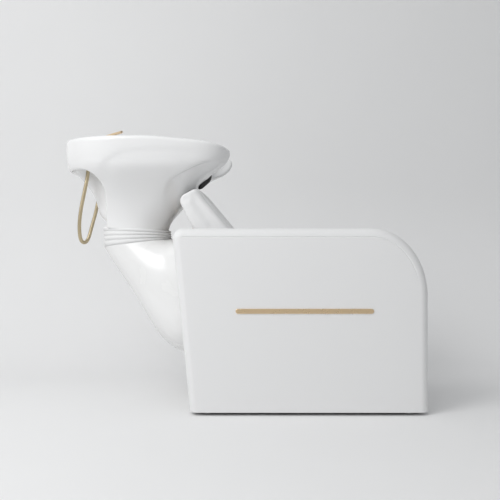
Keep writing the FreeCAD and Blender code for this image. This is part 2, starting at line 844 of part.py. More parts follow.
def seat_form(inset, deepen):
    """The seat pad with a rounded front, crowned both ways, drawn in by an inset and deeper below."""
    half = ARM_IN - SEAT_SIDE_GAP - inset
    front = X_FRONT - SEAT_FRONT_SETBACK - inset
    rear = seat_rear_x() + inset
    top = SEAT_HEIGHT - inset
    edge = top - SEAT_CROWN
    low = Z_SEAT_BOARD + FIT - deepen
    nose = Vec(front - SEAT_NOSE, -half, edge)
    nose_end = Vec(front, -half, edge - SEAT_NOSE)
    crown = Part.Arc(Vec(rear, -half, edge), Vec((rear + front) / 2, -half, top), nose).toShape()
    front_curve = smooth_quarter(nose, nose_end, Vec(1, 0, 0), Vec(0, 0, -1))
    wire = Part.Wire(
        [
            line(Vec(rear, -half, low), Vec(rear, -half, edge)),
            crown,
            front_curve,
            line(nose_end, Vec(front, -half, low)),
            line(Vec(front, -half, low), Vec(rear, -half, low)),
        ]
    )

    def place(across, below):
        return Vec(rear - SEAT_EDGE, across, top - below)

    section = soft_section(half, 2 * SEAT_CUSHION, SEAT_EDGE - inset, SEAT_CROWN, place)
    return Part.Face(wire).extrude(Vec(0, 2 * half, 0)).common(Part.Face(section).extrude(Vec(BIG, 0, 0)))


def seat_cover():
    """Leatherette cover of the seat, open below where it is stapled to the board."""
    return seat_form(0.0, 0.0).cut(seat_form(COVER, SEAT_EDGE))


def seat_foam():
    return seat_form(COVER + FIT, 0.0)


def seat_board():
    half = ARM_IN - SEAT_SIDE_GAP
    depth = board_depth() + BOARD
    low_x, _ = back_point(back_along(Z_SEAT_BOARD - BOARD, depth), depth)
    return block(low_x + FIT, X_RAIL_FRONT, -half, half, Z_SEAT_BOARD - BOARD, Z_SEAT_BOARD)


def front_panel():
    half = ARM_IN - PANEL_SIDE_GAP
    top = Z_SEAT_BOARD - FIT
    solid = block(X_RAIL_FRONT, X_RAIL_FRONT + BOARD, -half, half, PANEL_LIFT, top)
    front = edges_at(solid, lambda box: box.XMin > X_RAIL_FRONT + BOARD - FIT)
    return solid.makeFillet(BOARD / 4, front)


def rear_panel():
    """Board that closes the chair's rear below the shell and carries the water and waste fittings."""
    half = ARM_IN - PANEL_SIDE_GAP
    solid = block(X_SHELL_END, X_RAIL_REAR, -half, half, PANEL_LIFT, shell_end_low())
    holes = [rod(WASTE_PIPE + HOLE_GAP, Vec(-BIG, 0, PIPE_LEVEL), Vec(BIG, 0, PIPE_LEVEL))]
    for y in (-INLET_SPACING / 2, INLET_SPACING / 2):
        holes.append(rod(INLET_RADIUS + HOLE_GAP, Vec(-BIG, y, PIPE_LEVEL), Vec(BIG, y, PIPE_LEVEL)))
    return solid.cut(Part.makeCompound(holes))


def bar(start, end, size, extend):
    """A square bar between two points of a plane across Y or along it, longer at both ends by extend."""
    along = end.sub(start)
    length = along.Length
    solid = Part.makeBox(size, size, length + 2 * extend, Vec(-size / 2, -size / 2, -extend))
    solid.Placement = FreeCAD.Placement(start, FreeCAD.Rotation(Vec(0, 0, 1), along))
    return solid


def column_cross_places():
    half = COLUMN_BOLT_SPACING / 2
    return (X_COLUMN_FOOT - half, X_COLUMN_FOOT + half)


def frame_bars():
    """Centre lines of the welded tubes."""
    half = TUBE / 2
    inner = Y_RAIL - half
    post = post_depth()
    rear_cross, _ = back_point(back_along(Z_SEAT_RAIL, post), post)
    front_cross = X_RAIL_FRONT - half
    bars = []
    for y in (-Y_RAIL, Y_RAIL):
        bars.append((Vec(X_RAIL_REAR, y, Z_FLOOR_RAIL), Vec(X_RAIL_FRONT, y, Z_FLOOR_RAIL)))
        bars.append((Vec(rear_cross - half, y, Z_SEAT_RAIL), Vec(X_RAIL_FRONT, y, Z_SEAT_RAIL)))
        for x in (rear_cross, X_RAIL_FRONT - UPRIGHT_INSET - half):
            bars.append((Vec(x, y, Z_FLOOR_RAIL + half), Vec(x, y, Z_SEAT_RAIL - half)))
    for x in (X_RAIL_REAR + half, *column_cross_places(), front_cross):
        bars.append((Vec(x, -inner, Z_FLOOR_RAIL), Vec(x, inner, Z_FLOOR_RAIL)))
    for x in (rear_cross, front_cross):
        bars.append((Vec(x, -inner, Z_SEAT_RAIL), Vec(x, inner, Z_SEAT_RAIL)))
    high_x, high_z = back_point(BACK_KINK - TUBE, post)
    for y in (-BACK_POST_SPACING / 2, BACK_POST_SPACING / 2):
        bars.append((Vec(rear_cross, y, Z_SEAT_RAIL), Vec(high_x, y, high_z)))
    return bars


def base_frame():
    """Welded frame of square tube, with its tubes open into one another."""
    outer = [bar(start, end, TUBE, 0.0) for start, end in frame_bars()]
    bores = [bar(start, end, TUBE - 2 * TUBE_WALL, TUBE / 2) for start, end in frame_bars()]
    solid = outer[0].multiFuse(outer[1:])
    solid = solid.cut(bores[0].multiFuse(bores[1:]))
    holes = arm_bolt_rods(BOLT + BOLT_GAP)
    for hole in arm_bolt_rods(BOLT + BOLT_GAP):
        holes.append(mirrored(hole))
    for x, y in column_bolt_places():
        holes.append(rod(BOLT + BOLT_GAP, Vec(x, y, FRAME_LIFT), Vec(x, y, Z_COLUMN_FOOT)))
    return solid.cut(Part.makeCompound(holes)).removeSplitter()


def bolt(start, end):
    """A bolt with a round head just before start and its shank from start to end."""
    along = end.sub(start).normalize()
    return rod(BOLT_HEAD, start - along * BOLT_HEAD_HEIGHT, start).fuse(rod(BOLT, start, end))


def arm_bolts():
    near = -(ARM_IN - FIT - TUBE)
    far = -(ARM_IN + ARM_PADDING + BOLT_GRIP)
    solids = []
    for x, z in arm_bolt_places():
        solids += both_sides(bolt(Vec(x, near, z), Vec(x, far, z)))
    return Part.makeCompound(solids)


def column_bolt_places():
    half = COLUMN_FLANGE_WIDTH / 2 - 2 * BOLT_HEAD
    return [(x, y) for x in column_cross_places() for y in (-half, half)]


def column_bolts():
    top = Z_COLUMN_FOOT + COLUMN_PLATE
    return Part.makeCompound([bolt(Vec(x, y, top), Vec(x, y, FRAME_LIFT)) for x, y in column_bolt_places()])


def bracket_bolt_places():
    along = BRACKET_LENGTH / 2 - 2 * BOLT_HEAD
    across = BRACKET_WIDTH / 2 - 1.5 * BOLT_HEAD
    return [(X_PIVOT + x, y) for x in (-along, along) for y in (-across, across)]


def bracket_bolts():
    top = Z_COLUMN_TOP + BRACKET_PLATE
    low = Z_COLUMN_TOP - COLUMN_PLATE
    return Part.makeCompound([bolt(Vec(x, y, top), Vec(x, y, low)) for x, y in bracket_bolt_places()])


def column_post():
    """Leaning steel column with a foot flange and a head plate."""
    foot_top = Z_COLUMN_FOOT + COLUMN_PLATE
    head_low = Z_COLUMN_TOP - COLUMN_PLATE
    start = Vec(X_COLUMN_FOOT, 0, foot_top)
    end = Vec(X_PIVOT, 0, head_low)
    turn = FreeCAD.Rotation(Vec(0, 0, 1), end.sub(start))

    def leaning(depth, width):
        solid = Part.makeBox(depth, width, BIG, Vec(-depth / 2, -width / 2, -BIG / 4))
        solid.Placement = FreeCAD.Placement(start, turn)
        return solid

    tube = leaning(COLUMN_DEPTH, COLUMN_WIDTH)
    tube = tube.cut(leaning(COLUMN_DEPTH - 2 * COLUMN_WALL, COLUMN_WIDTH - 2 * COLUMN_WALL))
    tube = tube.common(block(-BIG, BIG, -BIG, BIG, foot_top, head_low))
    length = COLUMN_FLANGE_LENGTH / 2
    width = COLUMN_FLANGE_WIDTH / 2
    flange = block(X_COLUMN_FOOT - length, X_COLUMN_FOOT + length, -width, width, Z_COLUMN_FOOT, foot_top)
    for x, y in column_bolt_places():
        flange = flange.cut(rod(BOLT + BOLT_GAP, Vec(x, y, Z_COLUMN_FOOT), Vec(x, y, foot_top)))
    length = BRACKET_LENGTH / 2
    width = BRACKET_WIDTH / 2
    head = block(X_PIVOT - length, X_PIVOT + length, -width, width, head_low, Z_COLUMN_TOP)
    for x, y in bracket_bolt_places():
        head = head.cut(rod(BOLT + BOLT_GAP, Vec(x, y, head_low), Vec(x, y, Z_COLUMN_TOP)))
    vent = rod(BOLT, Vec(X_PIVOT, 0, head_low), Vec(X_PIVOT, 0, Z_COLUMN_TOP))
    return tube.fuse(flange).fuse(head.cut(vent)).removeSplitter()


def eye_plate(foot_half, foot_z, radius, y0, y1):
    """A plate that tapers from a foot edge to a round eye at the pivot."""
    up = 1 if foot_z < PIVOT_LEVEL else -1
    reach = abs(PIVOT_LEVEL - foot_z)
    angle = math.atan2(foot_half, reach) + math.acos(min(radius / math.hypot(foot_half, reach), 1.0))
    tangent = Vec(radius * math.sin(angle), 0, -up * radius * math.cos(angle))
    centre = Vec(X_PIVOT, y0, PIVOT_LEVEL)
    right = centre + tangent
    left = centre + Vec(-tangent.x, 0, tangent.z)
    tip = centre + Vec(0, 0, up * radius)
    low_right = Vec(X_PIVOT + foot_half, y0, foot_z)
    low_left = Vec(X_PIVOT - foot_half, y0, foot_z)
    wire = Part.Wire(
        [line(low_left, low_right), line(low_right, right), Part.Arc(right, tip, left).toShape(), line(left, low_left)]
    )
    return Part.Face(wire).extrude(Vec(0, y1 - y0, 0))


def pivot_rod(radius):
    return rod(radius, Vec(X_PIVOT, -BIG / 4, PIVOT_LEVEL), Vec(X_PIVOT, BIG / 4, PIVOT_LEVEL))


def tilt_bracket():
    """Fixed bracket on the column's head, with two ears for the pivot pin."""
    top = Z_COLUMN_TOP + BRACKET_PLATE
    length = BRACKET_LENGTH / 2
    width = BRACKET_WIDTH / 2
    solid = block(X_PIVOT - length, X_PIVOT + length, -width, width, Z_COLUMN_TOP, top)
    ear = eye_plate(length / 2, top - BRACKET_PLATE / 2, EAR_RADIUS, EAR_INNER, EAR_INNER + EAR)
    for piece in both_sides(ear):
        solid = solid.fuse(piece)
    for x, y in bracket_bolt_places():
        solid = solid.cut(rod(BOLT + BOLT_GAP, Vec(x, y, Z_COLUMN_TOP), Vec(x, y, top)))
    return solid.cut(pivot_rod(PIN_RADIUS + RUNNING_GAP)).removeSplitter()


def pivot_pin():
    """Pin across the bracket's ears, with a head at one end."""
    face = EAR_INNER + EAR
    overhang = 6.0
    pin = rod(PIN_RADIUS, Vec(X_PIVOT, -face, PIVOT_LEVEL), Vec(X_PIVOT, face + overhang, PIVOT_LEVEL))
    head = rod(PIN_HEAD, Vec(X_PIVOT, -face - PIN_HEAD_THICKNESS, PIVOT_LEVEL), Vec(X_PIVOT, -face, PIVOT_LEVEL))
    return pin.fuse(head)


def pin_collar():
    """Retaining collar on the pin's plain end."""
    face = EAR_INNER + EAR
    return ring(
        PIN_HEAD,
        PIN_RADIUS + RUNNING_GAP,
        Vec(X_PIVOT, face, PIVOT_LEVEL),
        Vec(X_PIVOT, face + PIN_HEAD_THICKNESS, PIVOT_LEVEL),
    )


def lug_outer():
    return EAR_INNER - BUSH_FLANGE - FIT


def bush_seat():
    return PIN_RADIUS + RUNNING_GAP + BUSH_WALL


def tilt_bolt_places():
    half = TILT_BOLT_SPACING / 2
    return [(x, y) for x in (X_NECK - TILT_BOLT_REAR, X_NECK + TILT_BOLT_FRONT) for y in (-half, half)]


def tilt_plate():
    """Plate under the basin with two lugs that hang on the pivot pin."""
    width = TILT_PLATE_WIDTH / 2
    low = Z_TILT_PLATE - TILT_PLATE
    solid = block(X_NECK - TILT_PLATE_REAR, X_NECK + TILT_PLATE_FRONT, -width, width, low, Z_TILT_PLATE)
    lug = eye_plate(1.6 * LUG_RADIUS, low + TILT_PLATE / 2, LUG_RADIUS, lug_outer() - LUG, lug_outer())
    for piece in both_sides(lug):
        solid = solid.fuse(piece)
    solid = solid.cut(rod(TILT_BORE, Vec(X_NECK, 0, low), Vec(X_NECK, 0, Z_TILT_PLATE)))
    for x, y in tilt_bolt_places():
        solid = solid.cut(rod(BOLT + BOLT_GAP, Vec(x, y, low), Vec(x, y, Z_TILT_PLATE)))
    return solid.cut(pivot_rod(bush_seat() + HOLE_GAP)).removeSplitter()


def pivot_bushes():
    """Flanged plastic bushes in the two lugs."""
    inner = lug_outer() - LUG
    outer = lug_outer()

    def at(y):
        return Vec(X_PIVOT, y, PIVOT_LEVEL)

    bush = rod(bush_seat(), at(inner), at(outer)).fuse(rod(BUSH_FLANGE_RADIUS, at(outer), at(outer + BUSH_FLANGE)))
    bush = bush.cut(pivot_rod(PIN_RADIUS + RUNNING_GAP))
    return Part.makeCompound(both_sides(bush))


def tilt_bolts():
    low = Z_TILT_PLATE - TILT_PLATE
    return Part.makeCompound([bolt(Vec(x, y, low), Vec(x, y, Z_TILT_PLATE + BOLT_GRIP)) for x, y in tilt_bolt_places()])


def egg_wire(section, inset, depth):
    """A closed plan section of the bowl, blunter before the neck's axis than behind it."""
    _, rear, front, half, bluntness = section
    points = []
    for i in range(SECTION_POINTS):
        turn = 2 * math.pi * i / SECTION_POINTS
        c = math.cos(turn)
        s = math.sin(turn)
        power = 2 / (bluntness if c >= 0 else REAR_BLUNTNESS)
        reach = (front if c >= 0 else rear) - inset
        x = math.copysign(abs(c) ** power, c) * reach
        y = math.copysign(abs(s) ** power, s) * (half - inset)
        points.append(Vec(X_NECK + x, y, RIM_HEIGHT - depth))
    curve = Part.BSplineCurve()
    curve.interpolate(points, PeriodicFlag=True)
    return Part.Wire([curve.toShape()])


def bowl_loft(sections, inset=0.0, deepen=0.0):
    """A smooth solid through plan sections, drawn in by an inset, with its last section deeper."""
    wires = [egg_wire(section, inset, section[0]) for section in sections[:-1]]
    wires.append(egg_wire(sections[-1], inset, sections[-1][0] + deepen))
    return Part.makeLoft(wires, True, False)


def arch_cutter():
    """What the rear arch takes away below the apron, right across the bowl."""
    y = -OVERALL_WIDTH
    x_arch = X_NECK - ARCH_REACH
    z_spring = Z_APRON - ARCH_DROP
    crown = Vec(x_arch - ARCH_RUN, y, Z_APRON)
    spring = Vec(x_arch, y, z_spring)
    foot_point = Vec(x_arch - ARCH_FOOT, y, COLLAR_LEVEL)
    far_x = X_REAR - APRON
    curve = smooth_quarter(crown, spring, Vec(1, 0, 0), Vec(0, 0, -1))
    edges = [
        line(Vec(far_x, y, Z_APRON), crown),
        curve,
        line(spring, foot_point),
        line(foot_point, Vec(far_x, y, COLLAR_LEVEL)),
        line(Vec(far_x, y, COLLAR_LEVEL), Vec(far_x, y, Z_APRON)),
    ]
    return Part.Face(Part.Wire(edges)).extrude(Vec(0, 2 * OVERALL_WIDTH, 0))


def rim_cutter():
    """What lies above the rim, which runs level and then falls in an arc towards the client."""
    y = -OVERALL_WIDTH
    far_x = X_REAR - APRON
    x0 = X_NECK + RIM_FALL_START
    x1 = X_NECK + NECK_SETBACK + APRON * 2
    high = RIM_HEIGHT + APRON

    def fallen(x):
        drop = RIM_FALL_RADIUS - math.sqrt(RIM_FALL_RADIUS ** 2 - (x - x0) ** 2)
        return Vec(x, y, RIM_HEIGHT - drop)

    edges = [
        line(Vec(far_x, y, RIM_HEIGHT), fallen(x0)),
        Part.Arc(fallen(x0), fallen((x0 + x1) / 2), fallen(x1)).toShape(),
        line(fallen(x1), Vec(x1, y, high)),
        line(Vec(x1, y, high), Vec(far_x, y, high)),
        line(Vec(far_x, y, high), Vec(far_x, y, RIM_HEIGHT)),
    ]
    return Part.Face(Part.Wire(edges)).extrude(Vec(0, 2 * OVERALL_WIDTH, 0))


def neck_foot_line(x):
    """Height of the bowl's slanted lower edge at a place along the chair."""
    x0 = X_NECK - NECK_REAR_REACH
    x1 = X_NECK + NECK_FRONT_REACH
    share = (x - x0) / (x1 - x0)
    return RIM_HEIGHT - NECK_REAR_DEPTH - share * (NECK_FRONT_DEPTH - NECK_REAR_DEPTH)


def neck_foot_tilt():
    run = NECK_REAR_REACH + NECK_FRONT_REACH
    return math.degrees(math.atan2(NECK_REAR_DEPTH - NECK_FRONT_DEPTH, run))


def notch_axis_z():
    return RIM_HEIGHT - NOTCH_DEPTH + NOTCH_RADIUS


def notch_point(reach, radius):
    """A point below the notch's level axis, at a reach before the neck and a radius from the axis."""
    return Vec(X_NECK + reach, 0, notch_axis_z() - radius)


def spun_along(wire):
    """A solid of revolution about the notch's level axis."""
    return Part.Face(wire).revolve(Vec(0, 0, notch_axis_z()), Vec(1, 0, 0), 360)


def flare_points(section):
    return [notch_point(NOTCH_FLARE_START + reach, NOTCH_RADIUS + radius) for reach, radius in section]


def notch_cutter():
    """The neck notch: a trough through the front wall that flares outwards."""
    points = flare_points(FLARE_SECTION)
    flare = Part.BSplineCurve()
    flare.interpolate(points)
    far = NOTCH_FLARE_START + FLARE_SECTION[-1][0]
    corners = [
        points[-1],
        notch_point(far, 0.0),
        notch_point(NOTCH_REAR, 0.0),
        notch_point(NOTCH_REAR, NOTCH_RADIUS),
        points[0],
    ]
    edges = [line(a, b) for a, b in zip(corners, corners[1:])]
    return spun_along(Part.Wire(edges + [flare.toShape()]))


def rim_edges(solid):
    """The rim's outer top edges."""
    lowest = RIM_HEIGHT - NOTCH_DEPTH / 2
    width = max(section[3] for section in HULL_SECTIONS)
    found = []
    for edge in solid.Edges:
        box = edge.BoundBox
        if box.ZMin < lowest or edge.Length < NOTCH_RADIUS:
            continue
        if abs(max(abs(box.YMin), abs(box.YMax)) - width) < CERAMIC / 4 and box.ZMax > RIM_HEIGHT - FIT:
            found.append(edge)
    return found


def on_skin(point, cutter):
    return Part.Vertex(point).distToShape(cutter.Shells[0])[0] < FIT / 10


def soft_edges(solid, rim, notch, hollows):
    """Edges of the notch, and of the rim round the basin and the deck, which the glaze rounds off."""
    found = []
    for edge in solid.Edges:
        middle = edge.valueAt((edge.FirstParameter + edge.LastParameter) / 2)
        if middle.z < RIM_HEIGHT - 2 * NOTCH_DEPTH:
            continue
        at_notch = on_skin(middle, notch) and abs(middle.y) > FIT
        at_rim = on_skin(middle, rim) and any(on_skin(middle, hollow) for hollow in hollows)
        if at_notch or at_rim:
            found.append(edge)
    return found


def ceramic_bowl():
    """Double-walled casting: rim, deck, basin, keel, arched rear, hollow neck and neck notch."""
    hull = bowl_loft(HULL_SECTIONS)
    inner = bowl_loft(HULL_SECTIONS, CERAMIC)
    basin = bowl_loft(BASIN_SECTIONS)
    basin_wall = bowl_loft(BASIN_SECTIONS, -CERAMIC, CERAMIC)
    keel = bowl_loft(KEEL_SECTIONS)
    keel_inner = bowl_loft(KEEL_SECTIONS, CERAMIC)
    wide = OVERALL_WIDTH / 2
    x_arch = X_NECK - ARCH_REACH
    x_pocket = X_NECK - DECK_FRONT - 2 * CERAMIC - POCKET_GAP

    solid = hull.cut(arch_cutter().cut(keel))
    pocket_box = block(X_REAR - CERAMIC, x_pocket, -wide, wide, Z_APRON - 2 * CERAMIC, Z_DECK_UNDER)
    solid = solid.cut(inner.common(pocket_box).cut(keel).cut(basin_wall))
    neck_box = block(
        x_arch + CERAMIC, X_NECK + NOTCH_REAR - CERAMIC, -wide, wide, COLLAR_LEVEL - APRON, Z_APRON + CERAMIC
    )
    solid = solid.cut(inner.common(neck_box).cut(basin_wall))
    keel_box = block(X_REAR, x_arch + 1.5 * CERAMIC, -wide, wide, COLLAR_LEVEL - APRON, Z_DECK_UNDER)
    solid = solid.cut(keel_inner.common(keel_box).common(inner).cut(basin_wall))
    for x, y in tilt_bolt_places():
        solid = solid.fuse(rod(BOSS_RADIUS, Vec(x, y, Z_TILT_PLATE), Vec(x, y, Z_TILT_PLATE + BOSS_HEIGHT)))
    solid = solid.cut(basin)
    deck_box = block(X_REAR, X_NECK, -wide, wide, Z_DECK, RIM_HEIGHT + CERAMIC)
    deck = bowl_loft(HULL_SECTIONS[:3], DECK_LIP).common(deck_box)
    rim = rim_cutter()
    notch = notch_cutter()
    solid = solid.cut(deck).cut(rim)
    rear_x = X_REAR - APRON
    front_x = X_NECK + 2 * NECK_SETBACK
    below = (
        (rear_x, neck_foot_line(rear_x)),
        (front_x, neck_foot_line(front_x)),
        (front_x, 0.0),
        (rear_x, 0.0),
    )
    solid = solid.cut(side_prism(below, -wide, wide))
    solid = solid.cut(notch)
    solid = solid.makeFillet(RIM_ROUND, rim_edges(solid))
    solid = solid.makeFillet(EDGE_ROUND, soft_edges(solid, rim, notch, (basin, deck)))
    holes = [
        rod(DRAIN_SHANK + FIT, Vec(X_NECK, 0, Z_BASIN - 3 * CERAMIC), Vec(X_NECK, 0, Z_BASIN + CERAMIC)),
        rod(MIXER_SHANK + FIT, Vec(X_MIXER, 0, Z_DECK_UNDER - CERAMIC), Vec(X_MIXER, 0, RIM_HEIGHT)),
        rod(SOCKET_RADIUS + FIT, Vec(X_SHOWER, SHOWER_OFFSET, Z_DECK_UNDER - CERAMIC), Vec(X_SHOWER, SHOWER_OFFSET, RIM_HEIGHT)),
    ]
    for x, y in tilt_bolt_places():
        holes.append(rod(BOLT + HOLE_GAP, Vec(x, y, Z_TILT_PLATE), Vec(x, y, Z_TILT_PLATE + BOLT_GRIP)))
    return solid.cut(Part.makeCompound(holes))


def neck_rest(bowl):
    """Soft saddle over the notch's edge, with a flap inside and one down the front wall."""
    curve = Part.BSplineCurve()
    curve.interpolate(flare_points(REST_SECTION), PeriodicFlag=True)
    top = notch_axis_z() - REST_END_DROP
    below = block(X_NECK, X_FRONT, -BIG, BIG, 0, top)
    return spun_along(Part.Wire([curve.toShape()])).common(below).cut(bowl)


def shell_end_low():
    return PANEL_LIFT + REAR_PANEL_HEIGHT


def shell_sections(inset):
    """(low point, high point, half width, bluntness) of the shell from the collar to the chair."""
    turn = math.radians(COLLAR_TILT)
    low0 = Vec(X_NECK - COLLAR_RADIUS * math.cos(turn), 0, COLLAR_LEVEL - COLLAR_RADIUS * math.sin(turn))
    high0 = Vec(X_NECK + COLLAR_RADIUS * math.cos(turn), 0, COLLAR_LEVEL + COLLAR_RADIUS * math.sin(turn))
    low1 = Vec(X_SHELL_END, 0, shell_end_low() + FIT)
    high_z = ARM_HEIGHT - SHELL_TOP_GAP
    rear_depth = post_depth() + TUBE / 2
    high_x, _ = back_point(back_along(high_z, rear_depth), rear_depth)
    high1 = Vec(high_x - SHELL_WALL, 0, high_z)
    half0 = COLLAR_RADIUS
    half1 = SHELL_END_WIDTH / 2
    rows = [(low0, high0, half0, 2.0)]
    for low_x, low_z, high, widening, bluntness in SHELL_SECTIONS:
        low = Vec(low0.x + (low1.x - low0.x) * low_x, 0, low0.z + (low1.z - low0.z) * low_z)
        rows.append((low, high0 + (high1 - high0) * high, half0 + (half1 - half0) * widening, bluntness))
    rows.append((low1, high1, half1, SHELL_END_BLUNTNESS))
    drawn = []
    for low, high, half, bluntness in rows:
        along = high.sub(low).normalize()
        drawn.append((low + along * inset, high - along * inset, half - inset, bluntness))
    return drawn


def shell_wire(section, shift):
    low, high, half, bluntness = section
    middle = (low + high) * 0.5 + shift
    along = high.sub(low) * 0.5
    power = 2 / bluntness
    points = []
    for i in range(SECTION_POINTS):
        turn = 2 * math.pi * i / SECTION_POINTS
        c = math.cos(turn)
        s = math.sin(turn)
        reach = math.copysign(abs(c) ** power, c)
        side = math.copysign(abs(s) ** power, s)
        points.append(middle + along * reach + Vec(0, half * side, 0))
    curve = Part.BSplineCurve()
    curve.interpolate(points, PeriodicFlag=True)
    return Part.Wire([curve.toShape()])


def collar_normal():
    turn = math.radians(COLLAR_TILT)
    return Vec(-math.sin(turn), 0, math.cos(turn))


def shell_loft(inset, overrun):
    rows = shell_sections(inset)
    shifts = [collar_normal() * overrun] + [Vec(0, 0, 0)] * (len(rows) - 2) + [Vec(overrun, 0, 0)]
    return Part.makeLoft([shell_wire(row, shift) for row, shift in zip(rows, shifts)], True, False)


def support_shell():
    """Moulded shell from the chair's rear up to the collar, open at both ends, with a collar flange."""
    solid = shell_loft(0.0, 0.0).cut(shell_loft(SHELL_WALL, SHELL_WALL))
    top = Vec(X_NECK, 0, COLLAR_LEVEL)
    low = top - collar_normal() * COLLAR_FLANGE
    flange = ring(COLLAR_RADIUS - SHELL_WALL / 2, COLLAR_BORE, low, top)
    return solid.fuse(flange)


def bellows_circles(inset, overrun):
    """Ridge and valley circles of the bellows, in planes that turn from the collar's to the bowl's."""
    count = 2 * BELLOWS_RIBS
    low = Vec(X_NECK, 0, COLLAR_LEVEL)
    high = Vec(X_NECK, 0, neck_foot_line(X_NECK) - BELLOWS_GAP)
    wires = []
    for i in range(count + 1):
        share = i / count
        if i == 0:
            share = -overrun
        if i == count:
            share = 1 + overrun
        angle = COLLAR_TILT + (neck_foot_tilt() - COLLAR_TILT) * share
        turn = math.radians(angle)
        normal = Vec(-math.sin(turn), 0, math.cos(turn))
        radius = BELLOWS_LOW_RADIUS + (BELLOWS_HIGH_RADIUS - BELLOWS_LOW_RADIUS) * share
        if i % 2 == 0:
            radius -= BELLOWS_FOLD
        centre = low + (high - low) * share
        wires.append(Part.Wire([Part.Circle(centre, normal, radius - inset).toShape()]))
    return wires


def bellows():
    """Ribbed rubber skirt, deep behind and squeezed before, between the collar and the bowl."""
    outer = Part.makeLoft(bellows_circles(0.0, 0.0), True, True)
    return outer.cut(Part.makeLoft(bellows_circles(BELLOWS_WALL, 0.02), True, True))


def drain_flange():
    """Waste fitting with a dished flange on the basin's floor and a threaded shank."""
    top = Z_BASIN + DRAIN_FLANGE
    profile = (
        (DRAIN_BORE, top - DRAIN_FLANGE / 2),
        (DRAIN_BORE + DRAIN_FLANGE, top),
        (DRAIN_FLANGE_RADIUS - DRAIN_FLANGE, top),
        (DRAIN_FLANGE_RADIUS, Z_BASIN),
        (DRAIN_SHANK, Z_BASIN),
        (DRAIN_SHANK, Z_BASIN - DRAIN_SHANK_LENGTH),
        (DRAIN_BORE, Z_BASIN - DRAIN_SHANK_LENGTH),
    )
    return spun(profile, X_NECK, 0.0)


def drain_ring(outer, top, height):
    return ring(outer, DRAIN_SHANK + HOLE_GAP, Vec(X_NECK, 0, top - height), Vec(X_NECK, 0, top))


def drain_gasket():
    return drain_ring(DRAIN_NUT_RADIUS - GASKET, Z_BASIN - CERAMIC, GASKET)


def drain_nut():
    return drain_ring(DRAIN_NUT_RADIUS, Z_BASIN - CERAMIC - GASKET, DRAIN_NUT_HEIGHT)


def waste_tail():
    """Tail pipe that screws onto the drain's shank."""
    top = Z_BASIN - DRAIN_SHANK_LENGTH + TAIL_SOCKET
    shoulder = Z_BASIN - DRAIN_SHANK_LENGTH
    low = shoulder - TAIL_LENGTH
    socket = DRAIN_SHANK + HOLE_GAP
    bore = WASTE_PIPE - WASTE_WALL
    profile = (
        (socket, top),
        (socket + WASTE_WALL, top),
        (socket + WASTE_WALL, shoulder - WASTE_WALL),
        (WASTE_PIPE, shoulder - 2 * WASTE_WALL),
        (WASTE_PIPE, low),
        (bore, low),
        (bore, shoulder),
        (socket, shoulder),
    )
    return spun(profile, X_NECK, 0.0)


def waste_tail_end():
    return Vec(X_NECK, 0, Z_BASIN - DRAIN_SHANK_LENGTH - TAIL_LENGTH)


def pipe_elbow(y, radius, bore, bend, spigot, standoff):
    """A flanged fitting through the rear panel that turns up behind it, and its upper end."""
    x_turn = X_RAIL_REAR + standoff
    out = Vec(X_SHELL_END - spigot, y, PIPE_LEVEL)
    corner = Vec(x_turn, y, PIPE_LEVEL)
    top = Vec(x_turn, y, PIPE_LEVEL + bend + PIPE_FLANGE_MARGIN)
    start, arc, end = rounded_corner(out, corner, top, bend)
    path = Part.Wire([line(out, start), arc, line(end, top)])

    def swept(r):
        circle = Part.Wire([Part.Circle(out, Vec(1, 0, 0), r).toShape()])
        return path.makePipeShell([circle], True, False)

    face = Vec(X_SHELL_END, y, PIPE_LEVEL)
    flange = rod(radius + PIPE_FLANGE_MARGIN, face - Vec(PIPE_FLANGE, 0, 0), face)
    return swept(radius).fuse(flange).cut(swept(bore)), top


def waste_outlet():
    solid, _ = pipe_elbow(0.0, WASTE_PIPE, WASTE_PIPE - WASTE_WALL, PIPE_BEND, WASTE_SPIGOT, WASTE_STANDOFF)
    return solid


def water_inlet(side):
    solid, _ = pipe_elbow(side * INLET_SPACING / 2, INLET_RADIUS, INLET_BORE, INLET_BEND, INLET_SPIGOT, INLET_BEND + TUBE)
    return solid


def waste_hose():
    """Flexible waste hose from the tail pipe to the outlet."""
    _, end = pipe_elbow(0.0, WASTE_PIPE, WASTE_PIPE - WASTE_WALL, PIPE_BEND, WASTE_SPIGOT, WASTE_STANDOFF)
    seat = Vec(0, 0, FIT)
    points = [waste_tail_end() - seat] + [Vec(X_NECK + x, 0, routed(z)) for x, z in WASTE_ROUTE] + [end + seat]
    return hose("waste_hose", points, WASTE_PIPE, WASTE_PIPE - WASTE_WALL)


def feed_start(side):
    return Vec(X_MIXER, side * MIXER_SHANK / 2, Z_DECK - MIXER_SHANK_LENGTH)


def feed_hose(side):
    """Flexible water hose from the mixer's shank to its inlet."""
    y = side * INLET_SPACING / 2
    _, end = pipe_elbow(y, INLET_RADIUS, INLET_BORE, INLET_BEND, INLET_SPIGOT, INLET_BEND + TUBE)
    seat = Vec(0, 0, FIT)
    route = [Vec(X_NECK + x, side * offset, routed(z)) for x, offset, z in FEED_ROUTE]
    points = [feed_start(side) - seat] + route + [end + seat]
    return hose("feed_hose", points, FEED_RADIUS, FEED_BORE)


